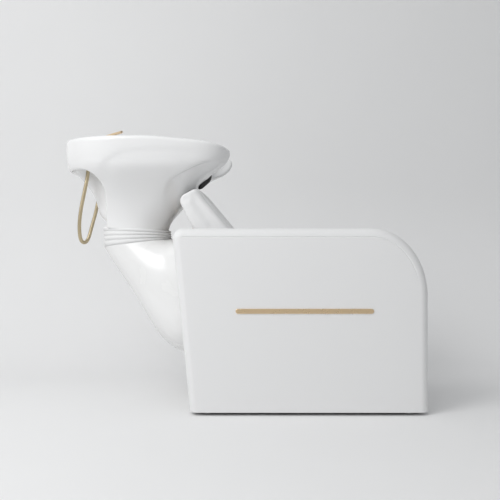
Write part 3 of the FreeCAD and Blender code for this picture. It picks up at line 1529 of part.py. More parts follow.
def hair_strainer():
    """Lift-out strainer: a holed disc with a knob and a short cup in the drain's bore."""
    low = Z_BASIN + DRAIN_FLANGE
    top = low + STRAINER_THICKNESS
    knob_top = top + STRAINER_KNOB_HEIGHT
    cup = DRAIN_BORE - FIT
    profile = (
        (0.0, low),
        (cup - STRAINER_THICKNESS, low),
        (cup - STRAINER_THICKNESS, low - STRAINER_CUP_DEPTH),
        (cup, low - STRAINER_CUP_DEPTH),
        (cup, low),
        (STRAINER_RADIUS - STRAINER_THICKNESS, low),
        (STRAINER_RADIUS, low + STRAINER_THICKNESS / 2),
        (STRAINER_RADIUS - STRAINER_THICKNESS, top),
        (STRAINER_KNOB / 2, top),
        (STRAINER_KNOB / 2, top + STRAINER_KNOB_HEIGHT / 2),
        (STRAINER_KNOB, knob_top - STRAINER_KNOB / 2),
        (STRAINER_KNOB / 2, knob_top),
        (0.0, knob_top),
    )
    solid = spun(profile, X_NECK, 0.0)
    holes = []
    for count, reach in ((6, 0.5), (10, 0.8)):
        for i in range(count):
            turn = 2 * math.pi * i / count
            x = X_NECK + (cup - STRAINER_HOLE) * reach * math.cos(turn)
            y = (cup - STRAINER_HOLE) * reach * math.sin(turn)
            holes.append(rod(STRAINER_HOLE * 0.8, Vec(x, y, low), Vec(x, y, top)))
    return solid.cut(Part.makeCompound(holes))


def mixer_top():
    return Z_DECK + MIXER_FLANGE + MIXER_HEIGHT


def mixer_body():
    """Round mixer body on the deck, bored for the cartridge, with a threaded shank below."""
    top = mixer_top()
    bore = CARTRIDGE_RADIUS + HOLE_GAP
    floor = top - CARTRIDGE_HEIGHT
    profile = (
        (0.0, floor),
        (bore, floor),
        (bore, top),
        (MIXER_RADIUS - 1.0, top),
        (MIXER_RADIUS, top - 1.0),
        (MIXER_RADIUS, Z_DECK + MIXER_FLANGE),
        (MIXER_FLANGE_RADIUS, Z_DECK + MIXER_FLANGE / 2),
        (MIXER_FLANGE_RADIUS, Z_DECK),
        (MIXER_SHANK, Z_DECK),
        (MIXER_SHANK, Z_DECK - MIXER_SHANK_LENGTH),
        (0.0, Z_DECK - MIXER_SHANK_LENGTH),
    )
    return spun(profile, X_MIXER, 0.0)


def mixer_nut():
    low = Vec(X_MIXER, 0, Z_DECK_UNDER - MIXER_NUT)
    return ring(MIXER_NUT_RADIUS, MIXER_SHANK + HOLE_GAP, low, Vec(X_MIXER, 0, Z_DECK_UNDER))


def mixer_cartridge():
    """Ceramic-disc cartridge in the mixer's bore, with its stem."""
    top = mixer_top()
    solid = Part.makeCylinder(CARTRIDGE_RADIUS, CARTRIDGE_HEIGHT, Vec(X_MIXER, 0, top - CARTRIDGE_HEIGHT))
    return solid.fuse(Part.makeCylinder(CARTRIDGE_STEM, CARTRIDGE_STEM_HEIGHT, Vec(X_MIXER, 0, top)))


def lever_pivot():
    return Vec(X_MIXER, 0, mixer_top() + CARTRIDGE_STEM_HEIGHT + LEVER_EYE + CAP_GAP)


def lever_cap():
    """Domed cap that turns on the mixer, slotted for the lever."""
    low = mixer_top() + CAP_GAP
    top = low + CAP_HEIGHT
    shoulder = low + CAP_HEIGHT / 2
    edge = MIXER_RADIUS - CAP_GAP
    start = Vec(X_MIXER + edge, 0, shoulder)
    end = Vec(X_MIXER, 0, top)
    dome = smooth_quarter(start, end, Vec(0, 0, 1), Vec(-1, 0, 0))
    axis_low = Vec(X_MIXER, 0, low)
    rim_low = Vec(X_MIXER + edge, 0, low)
    wire = Part.Wire([line(axis_low, rim_low), line(rim_low, start), dome, line(end, axis_low)])
    solid = Part.Face(wire).revolve(axis_low, Vec(0, 0, 1), 360)
    pivot = lever_pivot()
    half = LEVER_ROOT_WIDTH / 2 + LEVER_SIDE_GAP
    rear = X_MIXER - LEVER_EYE - LEVER_ROOT
    slot = block(rear, X_MIXER + 2 * edge, -half, half, pivot.z - LEVER_EYE - CAP_GAP, BIG)
    solid = solid.cut(slot)
    stem = CARTRIDGE_STEM + HOLE_GAP
    solid = solid.cut(Part.makeCylinder(stem, CARTRIDGE_STEM_HEIGHT, Vec(X_MIXER, 0, mixer_top())))
    return solid.cut(rod(LEVER_PIN + HOLE_GAP, pivot - Vec(0, MIXER_RADIUS, 0), pivot + Vec(0, MIXER_RADIUS, 0)))


def lever_pin():
    pivot = lever_pivot()
    half = MIXER_RADIUS * 0.6
    return rod(LEVER_PIN, pivot - Vec(0, half, 0), pivot + Vec(0, half, 0))


def mixer_lever():
    """Flat lever that rises towards the client from an eye on its pin."""
    pivot = lever_pivot()

    def at(along, up):
        return tilted_point(pivot.x, pivot.z, LEVER_ANGLE, along, up)

    half_root = LEVER_ROOT_WIDTH / 2
    inner = MIXER_RADIUS + LEVER_EYE
    root = side_prism(
        [at(0, -LEVER_EYE / 2), at(inner + 2, -LEVER_THICKNESS / 2), at(inner + 2, LEVER_THICKNESS / 2), at(0, LEVER_EYE)],
        -half_root,
        half_root,
    )
    eye = rod(LEVER_EYE, pivot - Vec(0, half_root, 0), pivot + Vec(0, half_root, 0))
    tip = LEVER_REACH / math.cos(math.radians(LEVER_ANGLE))
    blade_corners = (
        (*at(inner, -LEVER_THICKNESS / 2), LEVER_THICKNESS / 4),
        (*at(tip, -LEVER_THICKNESS / 2), LEVER_THICKNESS * 0.4),
        (*at(tip, LEVER_THICKNESS / 2), LEVER_THICKNESS * 0.4),
        (*at(inner, LEVER_THICKNESS / 2), LEVER_THICKNESS / 4),
    )
    half = LEVER_WIDTH / 2
    blade = rounded_side_prism(blade_corners, -half, half)
    plan = rounded_wire(
        [
            (Vec(pivot.x + inner * 0.6, -half_root, 0), 0),
            (Vec(pivot.x + LEVER_REACH, -half, 0), half * 0.8),
            (Vec(pivot.x + LEVER_REACH, half, 0), half * 0.8),
            (Vec(pivot.x + inner * 0.6, half_root, 0), 0),
        ]
    )
    blade = blade.common(Part.Face(plan).extrude(Vec(0, 0, BIG)))
    solid = blade.fuse(root).fuse(eye)
    return solid.cut(rod(LEVER_PIN + RUNNING_GAP, pivot - Vec(0, half, 0), pivot + Vec(0, half, 0))).removeSplitter()


def shower_place(z):
    return Vec(X_SHOWER, SHOWER_OFFSET, z)


def shower_socket():
    """Flanged bush in the deck that the hand shower rests in."""
    bore = SOCKET_RADIUS - SOCKET_WALL
    top = Z_DECK + SOCKET_FLANGE
    profile = (
        (bore, top),
        (SOCKET_FLANGE_RADIUS - SOCKET_FLANGE / 2, top),
        (SOCKET_FLANGE_RADIUS, Z_DECK + SOCKET_FLANGE / 2),
        (SOCKET_FLANGE_RADIUS, Z_DECK),
        (SOCKET_RADIUS, Z_DECK),
        (SOCKET_RADIUS, Z_DECK - SOCKET_LENGTH),
        (bore, Z_DECK - SOCKET_LENGTH),
    )
    return spun(profile, X_SHOWER, SHOWER_OFFSET)


def shower_head_axis():
    turn = math.radians(SHOWER_HEAD_TILT)
    return Vec(math.cos(turn), 0, -math.sin(turn))


def shower_head_start():
    rise = Z_DECK + SOCKET_FLANGE + SHOWER_HEIGHT
    return shower_place(rise) + Vec(SHOWER_RADIUS * 0.6, 0, SHOWER_RADIUS * 0.5)


def hand_shower():
    """Hand shower: a stem in the socket, a swelling grip and a tilted round head."""
    seat = SOCKET_RADIUS - SOCKET_WALL - SHOWER_SEAT_GAP
    shoulder = Z_DECK + SOCKET_FLANGE + FIT
    top = Z_DECK + SOCKET_FLANGE + SHOWER_HEIGHT
    profile = (
        (0.0, shoulder - SHOWER_SEAT_DEPTH - FIT),
        (seat - 1.0, shoulder - SHOWER_SEAT_DEPTH - FIT),
        (seat, shoulder - SHOWER_SEAT_DEPTH + 1.0),
        (seat, shoulder),
        (SHOWER_RADIUS, shoulder),
        (SHOWER_RADIUS, shoulder + 2.0),
        (SHOWER_RADIUS - 2.0, shoulder + 5.0),
        (SHOWER_RADIUS, top),
        (0.0, top),
    )
    stem = spun(profile, X_SHOWER, SHOWER_OFFSET)
    ball = Part.makeSphere(SHOWER_RADIUS, shower_place(top))
    axis = shower_head_axis()
    start = shower_head_start()
    reach = SHOWER_HEAD_LENGTH
    neck = Part.makeCone(SHOWER_RADIUS * 0.75, SHOWER_HEAD_RADIUS, reach * 0.75, start, axis)
    rim = rod(SHOWER_HEAD_RADIUS, start + axis * (reach * 0.75), start + axis * reach)
    return stem.fuse(ball).fuse(neck).fuse(rim).removeSplitter()


def spray_face():
    """Round spray plate on the head, with its nozzles."""
    axis = shower_head_axis()
    start = shower_head_start() + axis * SHOWER_HEAD_LENGTH
    radius = SHOWER_HEAD_RADIUS - SPRAY_FACE_MARGIN
    solid = rod(radius, start, start + axis * SPRAY_FACE)
    across = Vec(0, 1, 0)
    upward = axis.cross(across)
    nozzle = 1.4
    for count, share in ((6, 0.35), (12, 0.72)):
        for i in range(count):
            turn = 2 * math.pi * i / count
            place = start + across * (radius * share * math.cos(turn)) + upward * (radius * share * math.sin(turn))
            solid = solid.fuse(rod(nozzle, place, place + axis * (SPRAY_FACE + nozzle)))
    return solid


def hose_nipple():
    """Outlet fitting under the deck that the shower hose leaves from."""
    place = Vec(X_NIPPLE, -SHOWER_OFFSET, Z_DECK_UNDER)
    drop = Vec(0, 0, -NIPPLE_LENGTH)
    body = rod(NIPPLE_RADIUS, place, place + drop)
    flange = rod(NIPPLE_RADIUS * 1.4, place, place + drop * 0.2)
    return body.fuse(flange)


def shower_hose():
    """Gold hose that hangs in a loop behind the bowl."""
    route = [Vec(X_NECK + x, y, RIM_HEIGHT + z) for x, y, z in HOSE_ROUTE]
    return hose("shower_hose", route, HOSE_RADIUS)


def single(shape):
    """The one solid of a shape, or the shape where it is a group of solids."""
    return shape.Solids[0] if len(shape.Solids) == 1 else Part.makeCompound(shape.Solids)


def build():
    """Every node's shape by name."""
    bowl = ceramic_bowl()
    cover = right_arm_cover()
    foam = right_arm_foam()
    core = right_arm_core()
    trim = right_trim()
    return {
        "base_frame": base_frame(),
        "right_arm_core": core,
        "left_arm_core": mirrored(core),
        "right_arm_foam": foam,
        "left_arm_foam": mirrored(foam),
        "right_arm_cover": cover,
        "left_arm_cover": mirrored(cover),
        "right_trim": trim,
        "left_trim": mirrored(trim),
        "arm_bolts": arm_bolts(),
        "foot_glides": foot_glides(),
        "foot_screws": foot_screws(),
        "seat_board": seat_board(),
        "seat_foam": seat_foam(),
        "seat_cover": seat_cover(),
        "back_board": back_board(),
        "back_foam": back_foam(),
        "back_cover": back_cover(),
        "front_panel": front_panel(),
        "rear_panel": rear_panel(),
        "column_post": column_post(),
        "column_bolts": column_bolts(),
        "tilt_bracket": tilt_bracket(),
        "bracket_bolts": bracket_bolts(),
        "pivot_pin": pivot_pin(),
        "pin_collar": pin_collar(),
        "support_shell": support_shell(),
        "bellows": bellows(),
        "waste_outlet": waste_outlet(),
        "waste_hose": waste_hose(),
        "hot_inlet": water_inlet(1),
        "cold_inlet": water_inlet(-1),
        "hot_hose": feed_hose(1),
        "cold_hose": feed_hose(-1),
        "ceramic_bowl": bowl,
        "neck_rest": neck_rest(bowl),
        "tilt_plate": tilt_plate(),
        "tilt_bolts": tilt_bolts(),
        "pivot_bushes": pivot_bushes(),
        "drain_flange": drain_flange(),
        "drain_gasket": drain_gasket(),
        "drain_nut": drain_nut(),
        "waste_tail": waste_tail(),
        "hair_strainer": hair_strainer(),
        "mixer_body": mixer_body(),
        "mixer_nut": mixer_nut(),
        "mixer_cartridge": mixer_cartridge(),
        "lever_cap": lever_cap(),
        "lever_pin": lever_pin(),
        "mixer_lever": mixer_lever(),
        "shower_socket": shower_socket(),
        "hand_shower": hand_shower(),
        "spray_face": spray_face(),
        "hose_nipple": hose_nipple(),
        "shower_hose": shower_hose(),
    }


os.makedirs("parts", exist_ok=True)
for node, shape in build().items():
    part = single(shape)
    print(node, "valid", part.isValid(), "solids", len(part.Solids), "volume", round(part.Volume / 1000, 1))
    part.exportStep("parts/" + node + ".step")
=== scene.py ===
"""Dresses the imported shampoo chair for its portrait.

A fixed armchair in white leatherette carries a glazed wash bowl on a raked neck. The solids come from the
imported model; this script adds the upholstery, the pleated sleeve, the hanging shower hose, the neck rest,
the seams and the finish of every surface, all in metres and in the model's own frame.
"""

import logging
import math
from dataclasses import dataclass, replace
from enum import Enum
from typing import Callable, Iterable, Sequence, Union

import bmesh
import bpy
import numpy as np
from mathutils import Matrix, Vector
from mathutils.bvhtree import BVHTree


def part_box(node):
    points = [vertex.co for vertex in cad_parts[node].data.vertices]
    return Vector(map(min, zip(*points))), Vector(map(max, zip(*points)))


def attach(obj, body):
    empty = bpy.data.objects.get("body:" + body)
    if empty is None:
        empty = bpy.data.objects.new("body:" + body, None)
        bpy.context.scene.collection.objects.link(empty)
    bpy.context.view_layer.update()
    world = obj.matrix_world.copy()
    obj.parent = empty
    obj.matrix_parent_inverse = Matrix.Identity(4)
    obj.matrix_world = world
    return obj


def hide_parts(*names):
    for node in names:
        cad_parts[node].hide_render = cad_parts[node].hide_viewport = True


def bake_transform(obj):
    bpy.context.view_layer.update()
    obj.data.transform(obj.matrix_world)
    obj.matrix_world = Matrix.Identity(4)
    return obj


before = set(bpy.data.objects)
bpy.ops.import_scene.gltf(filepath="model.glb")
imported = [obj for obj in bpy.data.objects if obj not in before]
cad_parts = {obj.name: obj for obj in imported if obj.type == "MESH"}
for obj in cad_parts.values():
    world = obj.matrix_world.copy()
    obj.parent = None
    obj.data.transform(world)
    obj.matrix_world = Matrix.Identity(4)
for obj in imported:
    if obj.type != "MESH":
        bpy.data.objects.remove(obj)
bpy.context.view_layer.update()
LOG = logging.getLogger("shampoo_chair")

Colour = tuple[float, float, float]
Triple = tuple[float, float, float]
Span = tuple[float, float]
Feed = Union[float, Sequence[float], bpy.types.NodeSocket]
Sockets = tuple[bpy.types.NodeSocket, bpy.types.NodeSocket]
EdgePoint = tuple[Vector, Vector]


class Side(Enum):
    """The client's right and left arm, as signs of Y."""

    RIGHT = -1
    LEFT = 1

    @property
    def word(self) -> str:
        """The side's word in the names of nodes."""
        return self.name.lower()


class Effect(Enum):
    """Surface effects that more than one finish uses."""

    GRAIN = "pebbled grain"
    SMUDGE = "handling marks"
    BRUSHED = "brushed lines"
    SPECKLE = "fine speckle"


class Graph:
    """A node tree with short calls that add nodes and join their sockets."""

    def __init__(self, tree: bpy.types.NodeTree) -> None:
        """Takes the tree to work on."""
        self.tree = tree

    def feed(self, socket: bpy.types.NodeSocket, value: Feed) -> None:
        """Links a socket to another, or sets its value."""
        if isinstance(value, bpy.types.NodeSocket):
            self.tree.links.new(value, socket)
        else:
            socket.default_value = value

    def add(self, kind: str, settings: dict[str, object] | None = None, **inputs: Feed) -> bpy.types.Node:
        """Adds a node.

        Args:
            kind: The node's type name.
            settings: Properties of the node, such as its mode.
            inputs: Values or sockets for its inputs, with _ for each space in an input's name.

        Returns:
            The new node.
        """
        node = self.tree.nodes.new(kind)
        for name, value in (settings or {}).items():
            setattr(node, name, value)
        for name, value in inputs.items():
            self.feed(node.inputs[name.replace("_", " ")], value)
        return node

    def math(self, operation: str, first: Feed, second: Feed = 0.0) -> bpy.types.NodeSocket:
        """Adds a Math node and returns its result."""
        node = self.add("ShaderNodeMath", {"operation": operation})
        self.feed(node.inputs[0], first)
        self.feed(node.inputs[1], second)
        return node.outputs[0]

    def noise(self, place: Feed, scale: Feed, detail: float, **inputs: Feed) -> bpy.types.NodeSocket:
        """Adds a noise texture and returns its value."""
        node = self.add("ShaderNodeTexNoise", Vector=place, Scale=scale, Detail=detail, **inputs)
        return node.outputs["Fac"]

    def remap(
        self, value: Feed, low: float, high: float, to_low: float, to_high: float
    ) -> bpy.types.NodeSocket:
        """Maps a value's range onto another, clamped, and returns the result."""
        node = self.add("ShaderNodeMapRange")
        for socket, number in zip(node.inputs[:5], (value, low, high, to_low, to_high)):
            self.feed(socket, number)
        return node.outputs["Result"]

    def tint(self, share: Feed, first: Feed, second: Feed) -> bpy.types.NodeSocket:
        """Mixes two colours and returns the result."""
        node = self.add("ShaderNodeMix", {"data_type": "RGBA"})
        for index, value in ((0, share), (6, first), (7, second)):
            self.feed(node.inputs[index], value)
        return node.outputs[2]


def with_alpha(colour: Colour) -> tuple[float, float, float, float]:
    """The colour as a socket takes it."""
    return (*colour, 1.0)


def new_group(
    name: str, kind: str, inputs: dict[str, str], outputs: dict[str, str]
) -> tuple[Graph, bpy.types.NodeOutputs, bpy.types.NodeInputs]:
    """Opens a node group with its sockets.

    Args:
        name: The group's name.
        kind: Type of the tree.
        inputs: Names of the inputs, with the type of each.
        outputs: Names of the outputs, with the type of each.

    Returns:
        The group's graph, the sockets that bring its inputs and the ones that take its outputs.
    """
    tree = bpy.data.node_groups.new(name, kind)
    for way, sockets in (("INPUT", inputs), ("OUTPUT", outputs)):
        for socket, socket_type in sockets.items():
            tree.interface.new_socket(socket, in_out=way, socket_type=socket_type)
    graph = Graph(tree)
    return graph, graph.add("NodeGroupInput").outputs, graph.add("NodeGroupOutput").inputs


def effect_group(effect: Effect) -> bpy.types.NodeTree:
    """Builds a surface effect's node group once.

    Args:
        effect: Which effect.

    Returns:
        The group, with inputs Vector and Scale and outputs Height and Tone.
    """
    known = bpy.data.node_groups.get(effect.value)
    if known:
        return known
    graph, entry, leave = new_group(
        effect.value,
        "ShaderNodeTree",
        {"Vector": "NodeSocketVector", "Scale": "NodeSocketFloat"},
        {"Height": "NodeSocketFloat", "Tone": "NodeSocketFloat"},
    )
    sockets = {
        Effect.GRAIN: grain_sockets,
        Effect.SMUDGE: smudge_sockets,
        Effect.BRUSHED: brushed_sockets,
        Effect.SPECKLE: speckle_sockets,
    }
    height, tone = sockets[effect](graph, entry["Vector"], entry["Scale"])
    graph.feed(leave["Height"], height)
    graph.feed(leave["Tone"], tone)
    return graph.tree


def grain_sockets(graph: Graph, place: bpy.types.NodeSocket, scale: bpy.types.NodeSocket) -> Sockets:
    """Leather pebbles with creases between them, and a slow drift of tone."""
    warp = graph.add("ShaderNodeTexNoise", Vector=place, Scale=graph.math("MULTIPLY", scale, 0.4), Detail=2.0)
    shifted = graph.add("ShaderNodeVectorMath", {"operation": "SCALE"})
    graph.feed(shifted.inputs[0], warp.outputs["Color"])
    graph.feed(shifted.inputs["Scale"], graph.math("DIVIDE", 0.5, scale))
    bent = graph.add("ShaderNodeVectorMath", {"operation": "ADD"})
    graph.feed(bent.inputs[0], place)
    graph.feed(bent.inputs[1], shifted.outputs["Vector"])
    cells = graph.add(
        "ShaderNodeTexVoronoi", {"feature": "DISTANCE_TO_EDGE"}, Vector=bent.outputs["Vector"], Scale=scale
    )
    pebble = graph.remap(cells.outputs["Distance"], 0.0, 0.28, 0.0, 1.0)
    pores = graph.noise(place, graph.math("MULTIPLY", scale, 2.6), 2.0)
    pebbles = graph.math("MULTIPLY", pebble, 0.75)
    height = graph.math("ADD", pebbles, graph.math("MULTIPLY", pores, 0.25))
    drift = graph.noise(place, graph.math("MULTIPLY", scale, 0.012), 3.0)
    return height, graph.remap(drift, 0.35, 0.65, 0.0, 1.0)


def smudge_sockets(graph: Graph, place: bpy.types.NodeSocket, scale: bpy.types.NodeSocket) -> Sockets:
    """Soft patches where hands and cloths have passed, over a slow swell."""
    swell = graph.noise(place, graph.math("MULTIPLY", scale, 0.5), 1.0)
    marks = graph.noise(place, scale, 6.0, Roughness=0.62, Distortion=0.6)
    return swell, graph.remap(marks, 0.42, 0.72, 0.0, 1.0)


def brushed_sockets(graph: Graph, place: bpy.types.NodeSocket, scale: bpy.types.NodeSocket) -> Sockets:
    """Hair lines along the stretched axis, in broad bands."""
    hair = graph.noise(place, scale, 3.0, Roughness=0.7)
    bands = graph.noise(place, graph.math("MULTIPLY", scale, 0.12), 2.0)
    return hair, graph.remap(bands, 0.3, 0.7, 0.0, 1.0)


def speckle_sockets(graph: Graph, place: bpy.types.NodeSocket, scale: bpy.types.NodeSocket) -> Sockets:
    """Fine even texture, as on moulded plastic, rubber and powder coat."""
    dots = graph.noise(place, scale, 2.0, Roughness=0.55)
    drift = graph.noise(place, graph.math("MULTIPLY", scale, 0.02), 3.0)
    return dots, graph.remap(drift, 0.35, 0.65, 0.0, 1.0)


@dataclass(frozen=True)
class Finish:
    """A surface finish: two tones, a roughness that drifts, and a fine relief.

    Attributes:
        name: The material's name.
        colour: Main colour, linear.
        shade: Colour in the worn or shaded patches.
        roughness: Mean roughness.
        uneven: How far the roughness drifts.
        effect: The relief's pattern.
        scale: The relief's pattern count for each metre.
        relief: The relief's height, in metres.
        metal: 1 for bare metal.
        coat: Weight of a clear coat.
        sheen: Weight of a soft sheen.
        stretch: How the pattern is drawn out along each axis.
        marks: Count of handling marks for each metre.
        coat_roughness: Roughness of the clear coat.
        sheen_roughness: Roughness of the sheen.
    """

    name: str
    colour: Colour
    shade: Colour
    roughness: float
    uneven: float
    effect: Effect
    scale: float
    relief: float
    metal: float = 0.0
    coat: float = 0.0
    sheen: float = 0.0
    stretch: Triple = (1.0, 1.0, 1.0)
    marks: float = 9.0
    coat_roughness: float = 0.06
    sheen_roughness: float = 0.4

    def material(self) -> bpy.types.Material:
        """Builds the material once and returns it."""
        known = bpy.data.materials.get(self.name)
        if known:
            return known
        material = bpy.data.materials.new(self.name)
        material.use_nodes = True
        material.node_tree.nodes.clear()
        graph = Graph(material.node_tree)
        shader = graph.add("ShaderNodeBsdfPrincipled", Metallic=self.metal)
        shader.inputs["Coat Weight"].default_value = self.coat
        shader.inputs["Coat Roughness"].default_value = self.coat_roughness
        shader.inputs["Sheen Weight"].default_value = self.sheen
        shader.inputs["Sheen Roughness"].default_value = self.sheen_roughness
        place = graph.add("ShaderNodeTexCoord").outputs["Object"]
        self.paint(graph, shader, place)
        graph.add("ShaderNodeOutputMaterial", Surface=shader.outputs["BSDF"])
        return material

    def paint(self, graph: Graph, shader: bpy.types.Node, place: bpy.types.NodeSocket) -> None:
        """Feeds the shader's colour, roughness and normal from the finish's effects.

        Args:
            graph: The material's tree.
            shader: Its Principled node.
            place: The coordinates to read.
        """
        turned = graph.add("ShaderNodeMapping", Vector=place, Scale=self.stretch).outputs["Vector"]
        pattern = self.group(graph, self.effect, turned, self.scale)
        marks = self.group(graph, Effect.SMUDGE, place, self.marks)
        tone = graph.math("MULTIPLY", marks.outputs["Tone"], pattern.outputs["Tone"])
        colour = graph.tint(tone, with_alpha(self.colour), with_alpha(self.shade))
        graph.feed(shader.inputs["Base Color"], colour)
        rough = graph.remap(
            marks.outputs["Tone"], 0.0, 1.0, self.roughness - self.uneven, self.roughness + self.uneven
        )
        graph.feed(shader.inputs["Roughness"], rough)
        height = pattern.outputs["Height"]
        bump = graph.add("ShaderNodeBump", Strength=1.0, Distance=self.relief, Height=height)
        graph.feed(shader.inputs["Normal"], bump.outputs["Normal"])

    @staticmethod
    def group(graph: Graph, effect: Effect, place: bpy.types.NodeSocket, scale: float) -> bpy.types.Node:
        """Places an effect's node group in a material.

        Args:
            graph: The material's tree.
            effect: Which effect.
            place: The coordinates it reads.
            scale: Its pattern count for each metre.

        Returns:
            The group's node.
        """
        node = graph.add("ShaderNodeGroup", {"node_tree": effect_group(effect)})
        graph.feed(node.inputs["Vector"], place)
        graph.feed(node.inputs["Scale"], scale)
        return node


GLAZE = Finish(
    "white_glaze", (0.87, 0.87, 0.865), (0.84, 0.84, 0.83), 0.13, 0.03, Effect.SMUDGE, 26.0, 0.0006, coat=0.35
)
LEATHERETTE = Finish(
    "white_leatherette", (0.83, 0.83, 0.828), (0.80, 0.797, 0.79), 0.42, 0.05, Effect.GRAIN, 780.0, 0.00012,
    sheen=0.08,
)
THREAD = Finish(
    "white_thread", (0.80, 0.80, 0.79), (0.68, 0.68, 0.66), 0.6, 0.08, Effect.BRUSHED, 1500.0, 0.0001
)
GOLD = Finish(
    "brushed_gold", (0.83, 0.635, 0.405), (0.79, 0.60, 0.38), 0.30, 0.03, Effect.BRUSHED, 900.0, 0.00003,
    metal=1.0, stretch=(0.03, 1.0, 1.0), marks=30.0,
)
HOSE_GOLD = Finish(
    "gold_hose", (1.0, 0.83, 0.36), (0.93, 0.74, 0.30), 0.20, 0.05, Effect.BRUSHED, 700.0, 0.00002,
    metal=0.55, marks=40.0,
)
STEEL = Finish(
    "zinc_plate", (0.62, 0.62, 0.60), (0.48, 0.48, 0.46), 0.34, 0.08, Effect.BRUSHED, 600.0, 0.00003,
    metal=1.0, marks=60.0,
)
BRONZE = Finish(
    "bearing_bronze", (0.46, 0.30, 0.14), (0.34, 0.21, 0.10), 0.38, 0.08, Effect.BRUSHED, 700.0, 0.00003,
    metal=1.0,
)
BRASS = Finish(
    "cast_brass", (0.60, 0.44, 0.18), (0.46, 0.33, 0.14), 0.33, 0.07, Effect.SPECKLE, 500.0, 0.00004,
    metal=1.0,
)
POWDER = Finish(
    "black_powder_coat", (0.035, 0.035, 0.037), (0.05, 0.05, 0.052), 0.5, 0.07, Effect.SPECKLE, 900.0, 0.0001
)
PLYWOOD = Finish(
    "birch_plywood", (0.62, 0.46, 0.29), (0.50, 0.34, 0.19), 0.6, 0.06, Effect.BRUSHED, 160.0, 0.0001,
    stretch=(0.06, 1.0, 1.0),
)
SHELL_WHITE = Finish(
    "white_moulding", (0.85, 0.85, 0.845), (0.82, 0.82, 0.81), 0.26, 0.05, Effect.SPECKLE, 160.0, 0.00004,
    coat=0.15,
)
SLEEVE_WHITE = Finish(
    "white_rubber", (0.78, 0.78, 0.775), (0.70, 0.70, 0.69), 0.5, 0.06, Effect.SPECKLE, 700.0, 0.00006
)
LAMINATE = Finish(
    "white_laminate", (0.82, 0.82, 0.815), (0.79, 0.79, 0.78), 0.4, 0.05, Effect.SPECKLE, 500.0, 0.00005
)
PIPE_GREY = Finish(
    "grey_pipe", (0.34, 0.35, 0.36), (0.28, 0.29, 0.30), 0.42, 0.06, Effect.SPECKLE, 600.0, 0.00005
)
NYLON = Finish(
    "nylon_glide", (0.66, 0.66, 0.65), (0.56, 0.56, 0.55), 0.45, 0.06, Effect.SPECKLE, 700.0, 0.00005
)
GEL_BLACK = Finish(
    "black_gel", (0.016, 0.016, 0.017), (0.028, 0.028, 0.029), 0.46, 0.06, Effect.GRAIN, 900.0, 0.00008
)
SEAL_BLACK = Finish(
    "black_seal", (0.02, 0.02, 0.02), (0.03, 0.03, 0.03), 0.55, 0.05, Effect.SPECKLE, 800.0, 0.00006
)
BRAID = Finish(
    "braided_steel", (0.56, 0.56, 0.55), (0.30, 0.30, 0.30), 0.36, 0.08, Effect.GRAIN, 620.0, 0.0003,
    metal=1.0, marks=40.0,
)

FINISHED_NODES: dict[Finish, tuple[str, ...]] = {
    SHELL_WHITE: ("support_shell",),
    LEATHERETTE: ("front_panel",),
    LAMINATE: ("rear_panel",),
    GOLD: (
        "right_trim",
        "left_trim",
        "mixer_body",
        "lever_cap",
        "mixer_lever",
        "hand_shower",
        "shower_socket",
        "hose_nipple",
        "drain_flange",
        "hair_strainer",
    ),
    STEEL: (
        "lever_pin",
        "pivot_pin",
        "pin_collar",
        "arm_bolts",
        "column_bolts",
        "bracket_bolts",
        "tilt_bolts",
        "foot_screws",
    ),
    BRONZE: ("pivot_bushes",),
    BRASS: ("hot_inlet", "cold_inlet", "mixer_nut"),
    POWDER: ("base_frame", "column_post", "tilt_bracket", "tilt_plate"),
    PLYWOOD: ("seat_board", "back_board", "right_arm_core", "left_arm_core"),
    PIPE_GREY: ("waste_outlet", "waste_tail", "drain_nut", "mixer_cartridge"),
    SEAL_BLACK: ("drain_gasket", "spray_face"),
    NYLON: ("foot_glides",),
}
MERGE = 2e-6
SHRINK = 0.5
SWELL = -0.53


def dress(piece: bpy.types.Object, finish: Finish) -> None:
    """Gives a whole piece one finish."""
    piece.data.materials.clear()
    piece.data.materials.append(finish.material())


def linked(name: str, data: bpy.types.ID) -> bpy.types.Object:
    """Puts new object data in the scene under a name."""
    piece = bpy.data.objects.new(name, data)
    bpy.context.scene.collection.objects.link(piece)
    return piece


def mesh_piece(
    name: str, points: Iterable[Sequence[float]], faces: Iterable[Sequence[int]]
) -> bpy.types.Object:
    """Makes a smooth-shaded mesh object whose normals point outwards.

    Args:
        name: The piece's name.
        points: Its vertices.
        faces: Its faces, as indices of vertices.

    Returns:
        The object, in the scene.
    """
    mesh = bpy.data.meshes.new(name)
    mesh.from_pydata([tuple(p) for p in points], [], [tuple(f) for f in faces])
    sheet = bmesh.new()
    sheet.from_mesh(mesh)
    bmesh.ops.recalc_face_normals(sheet, faces=sheet.faces)
    sheet.to_mesh(mesh)
    sheet.free()
    mesh.shade_smooth()
    return linked(name, mesh)


def ring_faces(rings: int, count: int) -> list[tuple[int, ...]]:
    """Faces between successive closed rings of the same count, with both ends closed."""
    faces: list[tuple[int, ...]] = []
    for ring in range(rings - 1):
        for i in range(count):
            j = (i + 1) % count
            low = ring * count
            faces.append((low + i, low + j, low + count + j, low + count + i))
    faces.append(tuple(range(count)))
    faces.append(tuple(range((rings - 1) * count, rings * count)))
    return faces


def plain_copy(name: str, node: str) -> bpy.types.Object:
    """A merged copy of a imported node's mesh as a new piece."""
    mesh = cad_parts[node].data.copy()
    sheet = bmesh.new()
    sheet.from_mesh(mesh)
    bmesh.ops.remove_doubles(sheet, verts=sheet.verts, dist=MERGE)
    sheet.to_mesh(mesh)
    sheet.free()
    return linked(name, mesh)


def settle(piece: bpy.types.Object) -> None:
    """Turns a piece and its modifiers into a plain mesh."""
    graph = bpy.context.evaluated_depsgraph_get()
    mesh = bpy.data.meshes.new_from_object(piece.evaluated_get(graph))
    piece.modifiers.clear()
    piece.data = mesh


